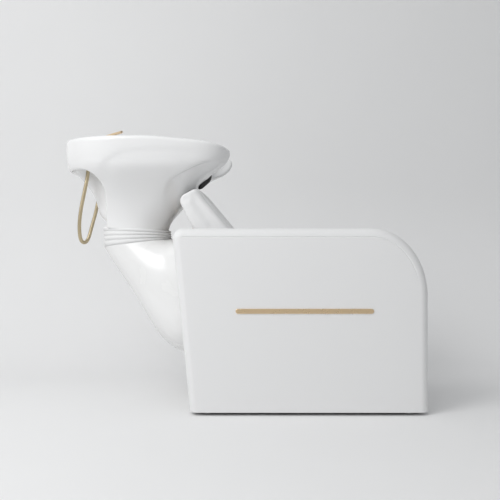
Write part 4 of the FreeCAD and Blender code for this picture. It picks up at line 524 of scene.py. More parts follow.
def spots_of(mesh: bpy.types.Mesh, what: str = "co") -> np.ndarray:
    """The places or normals of a mesh's vertices, a row for each."""
    values = np.empty(len(mesh.vertices) * 3)
    mesh.vertices.foreach_get(what, values)
    return values.reshape(-1, 3)


def move_to(mesh: bpy.types.Mesh, spots: np.ndarray) -> None:
    """Puts a mesh's vertices at new places."""
    mesh.vertices.foreach_set("co", spots.ravel())
    mesh.update()


class Neighbours:
    """Which vertices of a mesh share an edge."""

    def __init__(self, mesh: bpy.types.Mesh) -> None:
        """Reads the mesh's edges."""
        ends = np.empty(len(mesh.edges) * 2, dtype=np.int32)
        mesh.edges.foreach_get("vertices", ends)
        self.first, self.second = ends.reshape(-1, 2).T
        self.count = np.bincount(ends, minlength=len(mesh.vertices))

    def total(self, values: np.ndarray) -> np.ndarray:
        """For each vertex, the sum of its neighbours' values."""
        total = np.zeros_like(values)
        np.add.at(total, self.first, values[self.second])
        np.add.at(total, self.second, values[self.first])
        return total


def even_out(mesh: bpy.types.Mesh, passes: int) -> None:
    """Smooths a mesh by steps inwards and outwards in turn, so that it keeps its size."""
    spots = spots_of(mesh)
    around = Neighbours(mesh)
    for factor in (SHRINK, SWELL) * passes:
        spots += factor * (around.total(spots) / around.count[:, None] - spots)
    move_to(mesh, spots)


def eased(values: np.ndarray | float, start: float, end: float) -> np.ndarray:
    """A smooth ramp from 0 at the start to 1 at the end."""
    share = np.clip((values - start) / (end - start), 0.0, 1.0)
    return share * share * (3 - 2 * share)


def blurred(mesh: bpy.types.Mesh, values: np.ndarray, passes: int) -> np.ndarray:
    """Values of a mesh's vertices, each averaged with its neighbours again and again."""
    around = Neighbours(mesh)
    for _ in range(passes):
        values = (values + around.total(values)) / (around.count + 1)
    return values


def softened(line: Sequence[Span], rounds: int = 3) -> np.ndarray:
    """The corners of a line, cut off again and again until it bends smoothly."""
    knots = np.array(line)
    for _ in range(rounds):
        before, after = knots[:-1], knots[1:]
        cut = np.stack((0.75 * before + 0.25 * after, 0.25 * before + 0.75 * after), axis=1)
        knots = np.concatenate((knots[:1], cut.reshape(-1, 2), knots[-1:]))
    return knots


def beside(points: np.ndarray, line: Sequence[Span]) -> np.ndarray:
    """Measures where points of the side view lie from a line in it.

    Args:
        points: The points, as (x, z) rows.
        line: The line's corners, as (x, z) pairs.

    Returns:
        The distance of each point from the line, positive on its right.
    """
    knots = softened(line)
    runs = np.diff(knots, axis=0)
    lengths = np.linalg.norm(runs, axis=1)
    nearest = np.full(len(points), np.inf)
    side = np.zeros(len(points))
    for start, run, length in zip(knots[:-1], runs, lengths):
        way = run / length
        reach = np.clip((points - start) @ way, 0.0, length)
        gap = points - start - reach[:, None] * way
        distance = np.linalg.norm(gap, axis=1)
        nearer = distance < nearest
        nearest = np.where(nearer, distance, nearest)
        side = np.where(nearer, np.copysign(distance, gap @ np.array((way[1], -way[0]))), side)
    return side


@dataclass(frozen=True)
class Inflation:
    """How a pad is blown up by simulation.

    Attributes:
        voxel: Mesh size of the cloth.
        pressure: Pressure inside.
        limit: How far a point may move.
        frames: How long it blows.
        passes: How often the result is smoothed.
        stretch: How hard the cloth is to stretch.
        bend: How hard it is to bend.
    """

    voxel: float
    pressure: float
    limit: float
    frames: int = 20
    passes: int = 6
    stretch: float = 12.0
    bend: float = 2.0

    def remesh(self, piece: bpy.types.Object) -> None:
        """Gives the piece an even mesh."""
        modifier = piece.modifiers.new("even", "REMESH")
        modifier.mode = "VOXEL"
        modifier.voxel_size = self.voxel
        settle(piece)

    def blow(self, piece: bpy.types.Object, held: Callable[[bpy.types.MeshVertex], bool]) -> None:
        """Inflates the piece as cloth.

        Args:
            piece: The pad, evenly meshed.
            held: Says which vertices stay where they are.
        """
        group = piece.vertex_groups.new(name="held")
        group.add([v.index for v in piece.data.vertices if held(v)], 1.0, "REPLACE")
        start = spots_of(piece.data)
        cloth = piece.modifiers.new("cloth", "CLOTH")
        cloth.settings.use_pressure = True
        cloth.settings.uniform_pressure_force = self.pressure
        cloth.settings.vertex_group_mass = group.name
        cloth.settings.tension_stiffness = self.stretch
        cloth.settings.compression_stiffness = self.stretch
        cloth.settings.bending_stiffness = self.bend
        cloth.settings.effector_weights.gravity = 0.0
        cloth.point_cache.frame_start = 1
        cloth.point_cache.frame_end = self.frames
        for step in range(1, self.frames + 1):
            bpy.context.scene.frame_set(step)
        settle(piece)
        move = spots_of(piece.data) - start
        reach = np.maximum(np.linalg.norm(move, axis=1, keepdims=True), 1e-9)
        move_to(piece.data, start + move * np.minimum(1.0, self.limit / reach))
        bpy.context.scene.frame_set(1)
        piece.vertex_groups.clear()

    def finish(self, piece: bpy.types.Object) -> None:
        """Smooths the pad without shrinking it and divides its mesh once."""
        even_out(piece.data, self.passes)
        divide = piece.modifiers.new("divide", "SUBSURF")
        divide.levels = 1
        divide.render_levels = 1
        settle(piece)
        piece.data.shade_smooth()


def stitch_tree() -> bpy.types.NodeTree:
    """Builds the node tree that sews stitches along a curve.

    Returns:
        A tree with inputs for the pitch, the stitch's length, the thread's radius and its material.
    """
    known = bpy.data.node_groups.get("stitch row")
    if known:
        return known
    inputs = {"Seam": "NodeSocketGeometry", "Material": "NodeSocketMaterial"}
    inputs |= dict.fromkeys(("Pitch", "Length", "Thread"), "NodeSocketFloat")
    outputs = {"Stitches": "NodeSocketGeometry"}
    graph, entry, leave = new_group("stitch row", "GeometryNodeTree", inputs, outputs)
    by_length = {"mode": "LENGTH"}
    holes = graph.add("GeometryNodeCurveToPoints", by_length, Curve=entry["Seam"], Length=entry["Pitch"])
    bead = graph.add("GeometryNodeMeshUVSphere", Segments=6, Rings=5, Radius=1.0)
    size = graph.add("ShaderNodeCombineXYZ", X=entry["Thread"], Y=entry["Thread"])
    graph.feed(size.inputs["Z"], graph.math("MULTIPLY", entry["Length"], 0.5))
    row = graph.add(
        "GeometryNodeInstanceOnPoints",
        Points=holes.outputs["Points"],
        Instance=bead.outputs["Mesh"],
        Rotation=holes.outputs["Rotation"],
        Scale=size.outputs["Vector"],
    )
    real = graph.add("GeometryNodeRealizeInstances", Geometry=row.outputs["Instances"])
    smooth = graph.add("GeometryNodeSetShadeSmooth", Geometry=real.outputs["Geometry"])
    beads = smooth.outputs["Geometry"]
    dyed = graph.add("GeometryNodeSetMaterial", Geometry=beads, Material=entry["Material"])
    graph.feed(leave["Stitches"], dyed.outputs["Geometry"])
    return graph.tree


def path_curve(name: str, points: Sequence[Sequence[float]], closed: bool) -> bpy.types.Object:
    """A poly curve object through points."""
    data = bpy.data.curves.new(name, "CURVE")
    data.dimensions = "3D"
    spline = data.splines.new("POLY")
    spline.points.add(len(points) - 1)
    for knot, point in zip(spline.points, points):
        knot.co = (*point, 1.0)
    spline.use_cyclic_u = closed
    return linked(name, data)


def through_tree(
    source: bpy.types.Object, name: str, tree: bpy.types.NodeTree, values: dict[str, object]
) -> bpy.types.Object:
    """Runs a curve through a node tree and keeps the result as a plain mesh piece.

    Args:
        source: The curve, which is removed.
        name: The new piece's name.
        tree: The node tree.
        values: Values of the tree's named inputs.

    Returns:
        The new piece.
    """
    modifier = source.modifiers.new("tree", "NODES")
    modifier.node_group = tree
    for item in tree.interface.items_tree:
        if item.item_type == "SOCKET" and item.in_out == "INPUT" and item.name in values:
            modifier[item.identifier] = values[item.name]
    graph = bpy.context.evaluated_depsgraph_get()
    mesh = bpy.data.meshes.new_from_object(source.evaluated_get(graph))
    bpy.data.objects.remove(source)
    return linked(name, mesh)


@dataclass(frozen=True)
class Stitching:
    """A row of sewing thread.

    Attributes:
        pitch: From stitch to stitch.
        length: Length of a stitch.
        thread: Radius of the thread.
    """

    pitch: float = 0.0045
    length: float = 0.0036
    thread: float = 0.00045

    def sew(self, name: str, body: str, points: Sequence[Sequence[float]], closed: bool) -> bpy.types.Object:
        """Sews along points.

        Args:
            name: The piece's name.
            body: The body it rides on.
            points: The seam's line, on the cover's surface.
            closed: True where the seam closes on itself.

        Returns:
            The stitches as one piece.
        """
        values = {"Pitch": self.pitch, "Length": self.length, "Thread": self.thread}
        values["Material"] = THREAD.material()
        row = through_tree(path_curve(name + "_line", points, closed), name, stitch_tree(), values)
        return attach(row, body)


@dataclass
class ArmPanel:
    """One upholstered side of the chair, seamed along its top and over its nose.

    Attributes:
        side: Which arm.
        lean: How far the rear edge leans back from foot to top.
        corner: Radius of the corners in the side view.
        edge: Radius of the padded edge.
        nose_run: Length of the front curve along the top.
        nose_drop: Height of the front curve.
        seam: How far in from the outline the seam lies.
        seam_depth: How far the thread pulls the cover in.
        seam_reach: How far from the seam the cover is pulled in.
        seam_rings: Where the rings beside the seam lie, in reaches from it.
        rear_fade: Between which distances from the rear edge the seam begins.
        nose_fade: Between which shares of the nose's drop it runs out.
        sewn_least: How much of the seam has to show where it is stitched.
        thread_inset: How far inside the seam the stitches lie.
        plump: How much lower the face lies near the seam than in its middle.
        plump_reach: How far in from the edge that fades.
        core: How far in from the seam the face's middle lies.
        face_shares: Where the face's rings lie, as shares of the way to its middle.
        step: Spacing of points along the outline.
        corner_steps: Points round a corner.
        nose_steps: Points round the nose.
        edge_steps: Rings round the padded edge.
        sunk: How far the shape is drawn below the foot before it is cut off level.
        sharp: Angle of an edge that stays sharp, in degrees.
    """

    side: Side
    lean: float = 0.060
    corner: float = 0.034
    edge: float = 0.029
    nose_run: float = 0.185
    nose_drop: float = 0.222
    seam: float = 0.0295
    seam_depth: float = 0.0013
    seam_reach: float = 0.0014
    seam_rings: tuple[float, ...] = (-3.0, -2.0, -1.4, -1.0, -0.6, -0.3, 0.0, 0.3, 0.6, 1.0, 1.4, 2.0, 3.0)
    rear_fade: Span = (0.005, 0.04)
    nose_fade: Span = (0.35, 0.85)
    sewn_least: float = 0.4
    thread_inset: float = 0.0028
    plump: float = 0.0010
    plump_reach: float = 0.035
    core: float = 0.2
    face_shares: tuple[float, ...] = (0.03, 0.07, 0.12, 0.18, 0.26, 0.36, 0.5, 0.68, 0.9)
    step: float = 0.007
    corner_steps: int = 10
    nose_steps: int = 40
    edge_steps: int = 12
    sunk: float = 0.07
    sharp: float = 50.0

    def node(self, part: str) -> str:
        """The name of one of this arm's nodes."""
        return f"{self.side.word}_arm_{part}"

    def outline(self) -> list[EdgePoint]:
        """Points round the side view with their outward directions, as (x, z) pairs."""
        low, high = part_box(self.node("cover"))
        below = self.sunk / (high.z - low.z)
        foot_rear = Vector((low.x + self.lean * (1 + below), low.z - self.sunk))
        top_rear = Vector((low.x, high.z))
        front_foot = Vector((high.x, low.z - self.sunk))
        nose_top = Vector((high.x - self.nose_run, high.z))
        nose_end = Vector((high.x, high.z - self.nose_drop))
        heel_start, heel, heel_end = self.rounded(front_foot, foot_rear, top_rear)
        back_start, back, back_end = self.rounded(foot_rear, top_rear, nose_top)
        toe_start, toe, toe_end = self.rounded(nose_end, front_foot, foot_rear)
        rows = heel + self.straight(heel_end, back_start) + back + self.straight(back_end, nose_top)
        rows += self.nose(nose_top, nose_end) + self.straight(nose_end, toe_start) + toe
        return rows + self.straight(toe_end, heel_start)

    def straight(self, start: Vector, end: Vector) -> list[EdgePoint]:
        """Points along an edge, without its ends, which run clockwise seen from the client's right."""
        run = end - start
        count = max(2, int(run.length / self.step))
        outward = Vector((-run.y, run.x)).normalized()
        return [(start + run * (i / count), outward) for i in range(1, count)]

    def rounded(
        self, before: Vector, corner: Vector, after: Vector
    ) -> tuple[Vector, list[EdgePoint], Vector]:
        """Rounds a corner of the outline.

        Args:
            before: The corner before it.
            corner: The corner.
            after: The corner after it.

        Returns:
            The start of the arc, its points and its end.
        """
        back = (before - corner).normalized()
        ahead = (after - corner).normalized()
        half = back.angle(ahead) / 2
        reach = self.corner / math.tan(half)
        start = corner + back * reach
        end = corner + ahead * reach
        centre = corner + (back + ahead).normalized() * (self.corner / math.sin(half))
        first = (start - centre).normalized()
        last = (end - centre).normalized()
        rows = []
        for i in range(self.corner_steps + 1):
            outward = first.slerp(last, i / self.corner_steps).normalized()
            rows.append((centre + outward * self.corner, outward))
        return start, rows, end

    def nose(self, start: Vector, end: Vector) -> list[EdgePoint]:
        """The quarter ellipse at the front of the arm."""
        rows = []
        for i in range(self.nose_steps + 1):
            turn = math.pi / 2 * i / self.nose_steps
            run, drop = self.nose_run * math.sin(turn), self.nose_drop * math.cos(turn)
            point = Vector((start.x + run, end.y + drop))
            outward = Vector((math.sin(turn) / self.nose_run, math.cos(turn) / self.nose_drop)).normalized()
            rows.append((point, outward))
        return rows

    def sewn(self, point: Vector, low: Vector, high: Vector) -> float:
        """How much of the seam shows at a point of the outline: all along the top, none down the edges."""
        rear = low.x + self.lean * (high.z - point.y) / (high.z - low.z)
        drop = (high.z - point.y) / self.nose_drop
        return float(eased(point.x - rear, *self.rear_fade) * (1 - eased(drop, *self.nose_fade)))

    def dip(self, inset: float) -> float:
        """How far the thread pulls the cover in at an inset from the outline."""
        return self.seam_depth * math.exp(-(((inset - self.seam) / self.seam_reach) ** 2))

    def depth(self, inset: float) -> float:
        """How far below the face's plane the cover lies at an inset, but for the thread's pull."""
        if inset > self.edge:
            return self.plump * math.exp(-(inset - self.edge) / self.plump_reach)
        share = 1 - inset / self.edge
        return (self.edge + self.plump) * (1 - math.sqrt(1 - share * share)) + self.plump * (1 - share)

    def insets(self) -> list[float]:
        """Insets of the rings from the middle of the edge to just inside the seam."""
        turns = [math.pi / 2 * i / self.edge_steps for i in range(self.edge_steps)]
        rounds = [self.edge * (1 - math.cos(turn)) for turn in turns]
        return sorted(rounds + [self.seam + share * self.seam_reach for share in self.seam_rings])

    def face_rings(self, outline: list[EdgePoint], start: float) -> list[list[tuple[Vector, float]]]:
        """Rings that close one face, from the seam's inner side to the face's middle.

        Args:
            outline: The side view's points and outward directions.
            start: The inset where the rings begin.

        Returns:
            For each ring its points, as (x, z), with their depth below the face's plane.
        """
        spots = [point - outward * start for point, outward in outline]
        low = Vector((min(s.x for s in spots), min(s.y for s in spots)))
        high = Vector((max(s.x for s in spots), max(s.y for s in spots)))
        middle = (low + high) / 2
        reach = (high - low) / 2 - Vector((self.core, self.core))
        rings = []
        for share in self.face_shares:
            ring = []
            for spot in spots:
                x = min(max(spot.x, middle.x - reach.x), middle.x + reach.x)
                z = min(max(spot.y, middle.y - reach.y), middle.y + reach.y)
                moved = spot.lerp(Vector((x, z)), share)
                ring.append((moved, self.depth(start + (moved - spot).length)))
            rings.append(ring)
        return rings

    def build(self) -> None:
        """Models the cover and sews it."""
        low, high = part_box(self.node("cover"))
        outline = self.outline()
        sewn = [self.sewn(point, low, high) for point, _ in outline]
        insets = self.insets()
        middle = self.face_rings(outline, insets[-1])
        points = []
        for ring in reversed(middle):
            points += [(spot.x, low.y + depth, spot.y) for spot, depth in ring]
        rows = [(inset, low.y, 1) for inset in reversed(insets)] + [(inset, high.y, -1) for inset in insets]
        for inset, face, inwards in rows:
            for (point, outward), share in zip(outline, sewn):
                spot = point - outward * inset
                depth = self.depth(inset) + share * self.dip(inset)
                points.append((spot.x, face + inwards * depth, spot.y))
        for ring in middle:
            points += [(spot.x, high.y - depth, spot.y) for spot, depth in ring]
        name = f"{self.side.word}_arm_upholstery"
        cover = mesh_piece(name, points, ring_faces(len(rows) + 2 * len(middle), len(outline)))
        self.cut_level(cover, low.z)
        dress(cover, LEATHERETTE)
        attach(cover, "base")
        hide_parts(self.node("cover"), self.node("foam"))
        self.sew([row for row, share in zip(outline, sewn) if share > self.sewn_least], low, high)
        LOG.info("%s: %d points", name, len(points))

    def cut_level(self, cover: bpy.types.Object, level: float) -> None:
        """Cuts the cover off at its foot, where it is stapled under the core, and closes it."""
        sheet = bmesh.new()
        sheet.from_mesh(cover.data)
        everything = sheet.verts[:] + sheet.edges[:] + sheet.faces[:]
        bmesh.ops.bisect_plane(
            sheet, geom=everything, plane_co=(0.0, 0.0, level), plane_no=(0.0, 0.0, 1.0), clear_inner=True
        )
        bmesh.ops.edgeloop_fill(sheet, edges=[edge for edge in sheet.edges if edge.is_boundary])
        bmesh.ops.recalc_face_normals(sheet, faces=sheet.faces)
        sheet.to_mesh(cover.data)
        sheet.free()
        cover.data.shade_smooth()
        cover.data.set_sharp_from_angle(angle=math.radians(self.sharp))

    def sew(self, outline: list[EdgePoint], low: Vector, high: Vector) -> None:
        """Sews both faces just inside the seam."""
        inset = self.seam + self.thread_inset
        drop = self.depth(inset) + self.dip(inset)
        spots = [point - outward * inset for point, outward in outline]
        for face, y in (("low", low.y + drop), ("high", high.y - drop)):
            points = [(spot.x, y, spot.y) for spot in spots]
            Stitching().sew(f"{self.side.word}_arm_stitches_{face}", "base", points, False)


@dataclass
class SewnPad:
    """A cushion blown up from its foam, with two long seams.

    Attributes:
        name: The piece's name.
        cover: The node it replaces.
        foam: The node it is blown up from.
        facing: Outward direction of its face.
        seam_inset: How far in from each side the seams lie.
        seam_depth: How far the thread pulls the cover in.
        seam_reach: How far from the seam the cover is pulled in.
        cloth: How far the slack cover lies outside the foam.
        held: Cover facing away from the face by more than this stays on its board.
        sewn_side: Cover facing sideways by more than this has no seam.
        sewn_back: Cover facing away by more than this has none either.
        thread_inset: How far inside the seam the stitches lie.
        thread_rise: How far they stand off the cover.
        samples: Points along half a seam.
        inflation: How it is blown up.
    """

    name: str
    cover: str
    foam: str
    facing: Vector
    seam_inset: float = 0.022
    seam_depth: float = 0.0035
    seam_reach: float = 0.0045
    cloth: float = 0.003
    held: float = -0.8
    sewn_side: float = 0.85
    sewn_back: float = -0.3
    thread_inset: float = 0.005
    thread_rise: float = 0.0002
    samples: int = 80
    inflation: Inflation = Inflation(voxel=0.006, pressure=4.0, limit=0.004, passes=14)

    def build(self) -> None:
        """Models the pad, blows it up, draws its seams in and sews them."""
        pad = plain_copy(self.name, self.foam)
        low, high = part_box(self.foam)
        self.inflation.remesh(pad)
        move_to(pad.data, spots_of(pad.data) + spots_of(pad.data, "normal") * self.cloth)
        self.inflation.blow(pad, lambda vertex: vertex.normal.dot(self.facing) < self.held)
        self.inflation.finish(pad)
        seam = high.y - self.seam_inset
        self.draw_in(pad.data, seam)
        dress(pad, LEATHERETTE)
        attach(pad, "base")
        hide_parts(self.cover, self.foam)
        self.sew(pad, low, high, seam)
        LOG.info("%s: %d points", self.name, len(pad.data.vertices))

    def draw_in(self, mesh: bpy.types.Mesh, seam: float) -> None:
        """Pulls the cover in along both seams."""
        spots = spots_of(mesh)
        normals = spots_of(mesh, "normal")
        offset = (np.abs(spots[:, 1]) - seam) / self.seam_reach
        sewn = (np.abs(normals[:, 1]) < self.sewn_side) & (normals @ np.array(self.facing) > self.sewn_back)
        pull = np.where(sewn, self.seam_depth * np.exp(-offset * offset), 0.0)
        move_to(mesh, spots - normals * pull[:, None])

    def sew(self, pad: bpy.types.Object, low: Vector, high: Vector, seam: float) -> None:
        """Sews beside each seam, along the face."""
        surface = BVHTree.FromObject(pad, bpy.context.evaluated_depsgraph_get())
        along = Vector((0.0, 1.0, 0.0)).cross(self.facing)
        middle = (low + high) / 2
        reach = (high - low).length / 2
        for sign in (-1, 1):
            points = []
            for i in range(2 * self.samples + 1):
                spot = middle + along * (reach * (i / self.samples - 1))
                spot.y = sign * (seam - self.thread_inset)
                hit, _, _, _ = surface.ray_cast(spot + self.facing * reach, -self.facing)
                if hit is not None:
                    points.append(hit + self.facing * self.thread_rise)
            side = Side(sign).word
            Stitching().sew(f"{self.name}_stitches_{side}", "base", points[2:-2], False)


@dataclass(frozen=True)
class HornLift:
    """How much fuller the bowl's horns stand than the solid's.

    Attributes:
        height: The lift at the tips.
        along: Where along the bowl it begins and is full.
        level: Between which heights it begins and is full.
        across: Between which distances from the middle it begins and is full.
    """

    height: float = 0.017
    along: Span = (-0.235, -0.045)
    level: Span = (0.825, 0.875)
    across: Span = (0.080, 0.110)

    def at(self, spots: np.ndarray) -> np.ndarray:
        """How far each point is lifted."""
        tips = eased(spots[:, 0], *self.along) * eased(spots[:, 2], *self.level)
        return self.height * tips * eased(np.abs(spots[:, 1]), *self.across)


@dataclass
class NeckSaddle:
    """The black moulded rest over the bowl's notch.

    Attributes:
        inflation: Its mesh and how it is smoothed.
        lift: How it follows the horns.
    """

    inflation: Inflation = Inflation(voxel=0.0028, pressure=2.0, limit=0.002, passes=8)
    lift: HornLift = HornLift()

    def build(self) -> None:
        """Softens the rest's moulding."""
        rest = plain_copy("neck_saddle", "neck_rest")
        self.inflation.remesh(rest)
        spots = spots_of(rest.data)
        spots[:, 2] += self.lift.at(spots)
        move_to(rest.data, spots)
        self.inflation.finish(rest)
        dress(rest, GEL_BLACK)
        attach(rest, "bowl")
        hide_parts("neck_rest")
        LOG.info("neck_saddle: %d points", len(rest.data.vertices))


@dataclass(frozen=True)
class Crease:
    """A line along which the bowl's flank is drawn in.

    Attributes:
        line: Its side view, as (x, z) pairs, with the drawn-in flank on its right.
        depth: How far the flank is drawn in.
        turn: Width of the turn into the hollow.
        fade: Width over which the flank comes back.
        begins: Between which shares of the way along it deepens.
        ends: Between which shares it runs out.
    """

    line: tuple[Span, ...]
    depth: float
    turn: float
    fade: float
    begins: Span
    ends: Span

    def pull(self, points: np.ndarray) -> np.ndarray:
        """How far each (x, z) point is drawn in."""
        side = beside(points, self.line)
        across = eased(side, 0.0, self.turn) * (1 - eased(side, self.turn, self.turn + self.fade))
        first = np.array(self.line[0])
        span = np.array(self.line[-1]) - first
        along = (points - first) @ span / (span @ span)
        return self.depth * across * eased(along, *self.begins) * (1 - eased(along, *self.ends))


@dataclass
class GlazedBowl:
    """The ceramic bowl with full horns, a soft step under its belt and a crease under each horn.

    Attributes:
        inflation: Its mesh and how it is smoothed.
        creases: The step under the belt and the crease under the horns.
        flank: Between which sideways slopes a wall begins to be flank and is all flank.
        soft: How often the creases are smoothed.
        skin: How far off its wall the search for another wall begins.
        last_passes: How often the finished form is smoothed.
        lift: How much fuller the horns stand.
        tuck: How far the rear wall is drawn in.
        tuck_x: Where along the bowl that begins and is full.
        floor: How much thicker the basin's floor is made, out of sight.
        floor_axis: Place of the drain along the bowl.
        floor_reach: Between which distances from the drain.
        floor_level: Between which heights its underside lies.
        floor_slope: How far down the underside has to face.
    """

    inflation: Inflation = Inflation(voxel=0.0045, pressure=0.0, limit=0.0, passes=8)
    creases: tuple[Crease, ...] = (
        Crease(
            (
                (-0.476, 0.816), (-0.455, 0.843), (-0.433, 0.858), (-0.397, 0.875), (-0.348, 0.884),
                (-0.287, 0.8875), (-0.226, 0.8875), (-0.165, 0.880), (-0.104, 0.862), (-0.074, 0.846),
            ),
            depth=0.0035,
            turn=0.014,
            fade=0.055,
            begins=(0.0, 0.12),
            ends=(0.75, 1.0),
        ),
        Crease(
            (
                (-0.270, 0.707), (-0.255, 0.737), (-0.243, 0.767), (-0.219, 0.790), (-0.180, 0.809),
                (-0.130, 0.831), (-0.074, 0.846),
            ),
            depth=0.0115,
            turn=0.011,
            fade=0.065,
            begins=(0.0, 0.5),
            ends=(0.78, 1.05),
        ),
    )
    flank: Span = (0.05, 0.35)
    soft: int = 4
    skin: float = 0.002
    last_passes: int = 2
    lift: HornLift = HornLift()
    tuck: float = 0.007
    tuck_x: Span = (-0.585, -0.629)
    floor: float = 0.008
    floor_axis: float = -0.369
    floor_reach: Span = (0.05, 0.16)
    floor_level: Span = (0.68, 0.78)
    floor_slope: float = -0.75

    def build(self) -> None:
        """Models the bowl from its solid."""
        bowl = plain_copy("glazed_bowl", "ceramic_bowl")
        self.thicken(bowl.data)
        self.inflation.remesh(bowl)
        even_out(bowl.data, self.inflation.passes)
        self.mould(bowl.data)
        even_out(bowl.data, self.last_passes)
        bowl.data.shade_smooth()
        dress(bowl, GLAZE)
        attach(bowl, "bowl")
        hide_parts("ceramic_bowl")
        LOG.info("glazed_bowl: %d points", len(bowl.data.vertices))

    def thicken(self, mesh: bpy.types.Mesh) -> None:
        """Lowers the hidden underside of the basin's floor, so that the floor is thicker than a mesh cell."""
        spots = spots_of(mesh)
        reach = np.hypot(spots[:, 0] - self.floor_axis, spots[:, 1])
        under = spots_of(mesh, "normal")[:, 2] < self.floor_slope
        for values, (low, high) in ((reach, self.floor_reach), (spots[:, 2], self.floor_level)):
            under &= (values > low) & (values < high)
        spots[under, 2] -= self.floor
        move_to(mesh, spots)

    def mould(self, mesh: bpy.types.Mesh) -> None:
        """Draws the outer flanks in along the creases, lifts the horns and tucks the rear wall in."""
        spots = spots_of(mesh)
        normals = spots_of(mesh, "normal")
        outward = eased(normals[:, 1] * np.sign(spots[:, 1]), *self.flank)
        pull = sum(crease.pull(spots[:, [0, 2]]) for crease in self.creases) * outward
        pull *= self.outer_skin(mesh, spots, pull > 0)
        spots -= normals * blurred(mesh, pull, self.soft)[:, None]
        spots[:, 2] += self.lift.at(spots)
        spots[:, 0] += self.tuck * eased(spots[:, 0], *self.tuck_x)
        move_to(mesh, spots)

    def outer_skin(self, mesh: bpy.types.Mesh, spots: np.ndarray, asked: np.ndarray) -> np.ndarray:
        """Tells the bowl's outside from the walls of the hollow in it.

        Args:
            mesh: The bowl's mesh.
            spots: The places of its vertices.
            asked: Which vertices are asked about.

        Returns:
            True for each vertex asked about that has no other wall beside it.
        """
        walls = BVHTree.FromPolygons(spots.tolist(), [tuple(face.vertices) for face in mesh.polygons])
        free = np.zeros(len(spots), dtype=bool)
        for index in np.flatnonzero(asked):
            sideways = Vector((0.0, math.copysign(1.0, spots[index, 1]), 0.0))
            start = Vector(spots[index]) + self.skin * sideways
            free[index] = walls.ray_cast(start, sideways)[0] is None
        return free


@dataclass(frozen=True)
class SleeveRing:
    """A level of the pleated sleeve.

    Attributes:
        middle: Place of its middle along the chair.
        level: Height of its middle.
        tilt: Slope, in degrees.
        reach: Radius along the chair.
        half: Radius across the chair.
    """

    middle: float
    level: float
    tilt: float
    reach: float
    half: float

    def towards(self, other: "SleeveRing", share: float, inset: float) -> "SleeveRing":
        """The ring a share of the way to another, drawn in by an inset."""

        def mix(first: float, second: float) -> float:
            """The number a share of the way."""
            return first + (second - first) * share

        return SleeveRing(
            mix(self.middle, other.middle),
            mix(self.level, other.level),
            mix(self.tilt, other.tilt),
            mix(self.reach, other.reach) - inset,
            mix(self.half, other.half) - inset,
        )

    def points(self, count: int) -> list[Vector]:
        """Its points, anticlockwise from the front."""
        slope = math.radians(self.tilt)
        along = Vector((math.cos(slope), 0, math.sin(slope))) * self.reach
        across = Vector((0, self.half, 0))
        middle = Vector((self.middle, 0, self.level))
        turns = [2 * math.pi * k / count for k in range(count)]
        return [middle + along * math.cos(turn) + across * math.sin(turn) for turn in turns]


@dataclass
class PleatedSleeve:
    """The rubber sleeve between the fixed shell and the bowl's neck.

    Attributes:
        foot: Its plain lower edge on the shell's collar.
        low: The lowest valley.
        high: The highest valley, round the bowl's foot.
        foot_shares: Where the plain edge has its rings, on the way to the lowest valley.
        fold: Depth of a pleat.
        bulge: Under 1, the pleats are rounder than a sine wave.
        pleats: How many pleats.
        wall: Thickness of the rubber.
        lip: How far its upper edge is turned in, through the bowl's foot.
        gripped: How far below the highest valley the sleeve is held by the bowl; not used.
        sides: Points round a ring.
        steps: Rings in a pleat.
    """

    foot: SleeveRing = SleeveRing(-0.369, 0.5655, 6.5, 0.1235, 0.1235)
    low: SleeveRing = SleeveRing(-0.369, 0.580, 2.6, 0.1235, 0.1245)
    high: SleeveRing = SleeveRing(-0.372, 0.6185, -3.4, 0.1245, 0.1225)
    foot_shares: Triple = (0.0, 0.5, 0.85)
    fold: float = 0.0045
    bulge: float = 0.75
    pleats: int = 3
    wall: float = 0.0022
    lip: float = 0.030
    gripped: float = 0.0133
    sides: int = 128
    steps: int = 12

    def rings(self) -> list[SleeveRing]:
        """Every level from the foot to the highest valley."""
        count = self.pleats * self.steps
        rows = [self.foot.towards(self.low, share, 0.0) for share in self.foot_shares]
        for i in range(count + 1):
            share = i / count
            swell = abs(math.sin(math.pi * self.pleats * share)) ** self.bulge
            rows.append(self.low.towards(self.high, share, self.fold * (1 - swell)))
        return rows

    def build(self) -> None:
        """Models the pleats."""
        outer = self.rings()
        inner = [ring.towards(ring, 0.0, self.wall) for ring in reversed(outer)]
        lip = outer[-1].towards(outer[-1], 0.0, self.lip)
        rings = outer + [lip, replace(lip, level=lip.level - self.wall)] + inner[1:]
        points = [point for ring in rings for point in ring.points(self.sides)]
        faces = ring_faces(len(rings), self.sides)[:-2]
        last = (len(rings) - 1) * self.sides
        for i in range(self.sides):
            j = (i + 1) % self.sides
            faces.append((last + i, last + j, j, i))
        sleeve = mesh_piece("pleated_sleeve", points, faces)
        dress(sleeve, SLEEVE_WHITE)
        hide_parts("bellows")
        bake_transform(sleeve)
        LOG.info("pleated_sleeve: %d pleats", self.pleats)


@dataclass
class HiddenHose:
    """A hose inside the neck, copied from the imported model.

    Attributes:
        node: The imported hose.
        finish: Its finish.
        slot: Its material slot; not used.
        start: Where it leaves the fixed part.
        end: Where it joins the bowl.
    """

    node: str
    finish: Finish
    slot: str
    start: Triple
    end: Triple

    def build(self) -> None:
        """Copies the hose, gives it its finish and hides the imported one."""
        hose = plain_copy(f"bending_{self.node}", self.node)
        hose.data.shade_smooth()
        dress(hose, self.finish)
        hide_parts(self.node)
        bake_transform(hose)
        LOG.info("%s: bends between %.3f and %.3f m", hose.name, self.start[2], self.end[2])


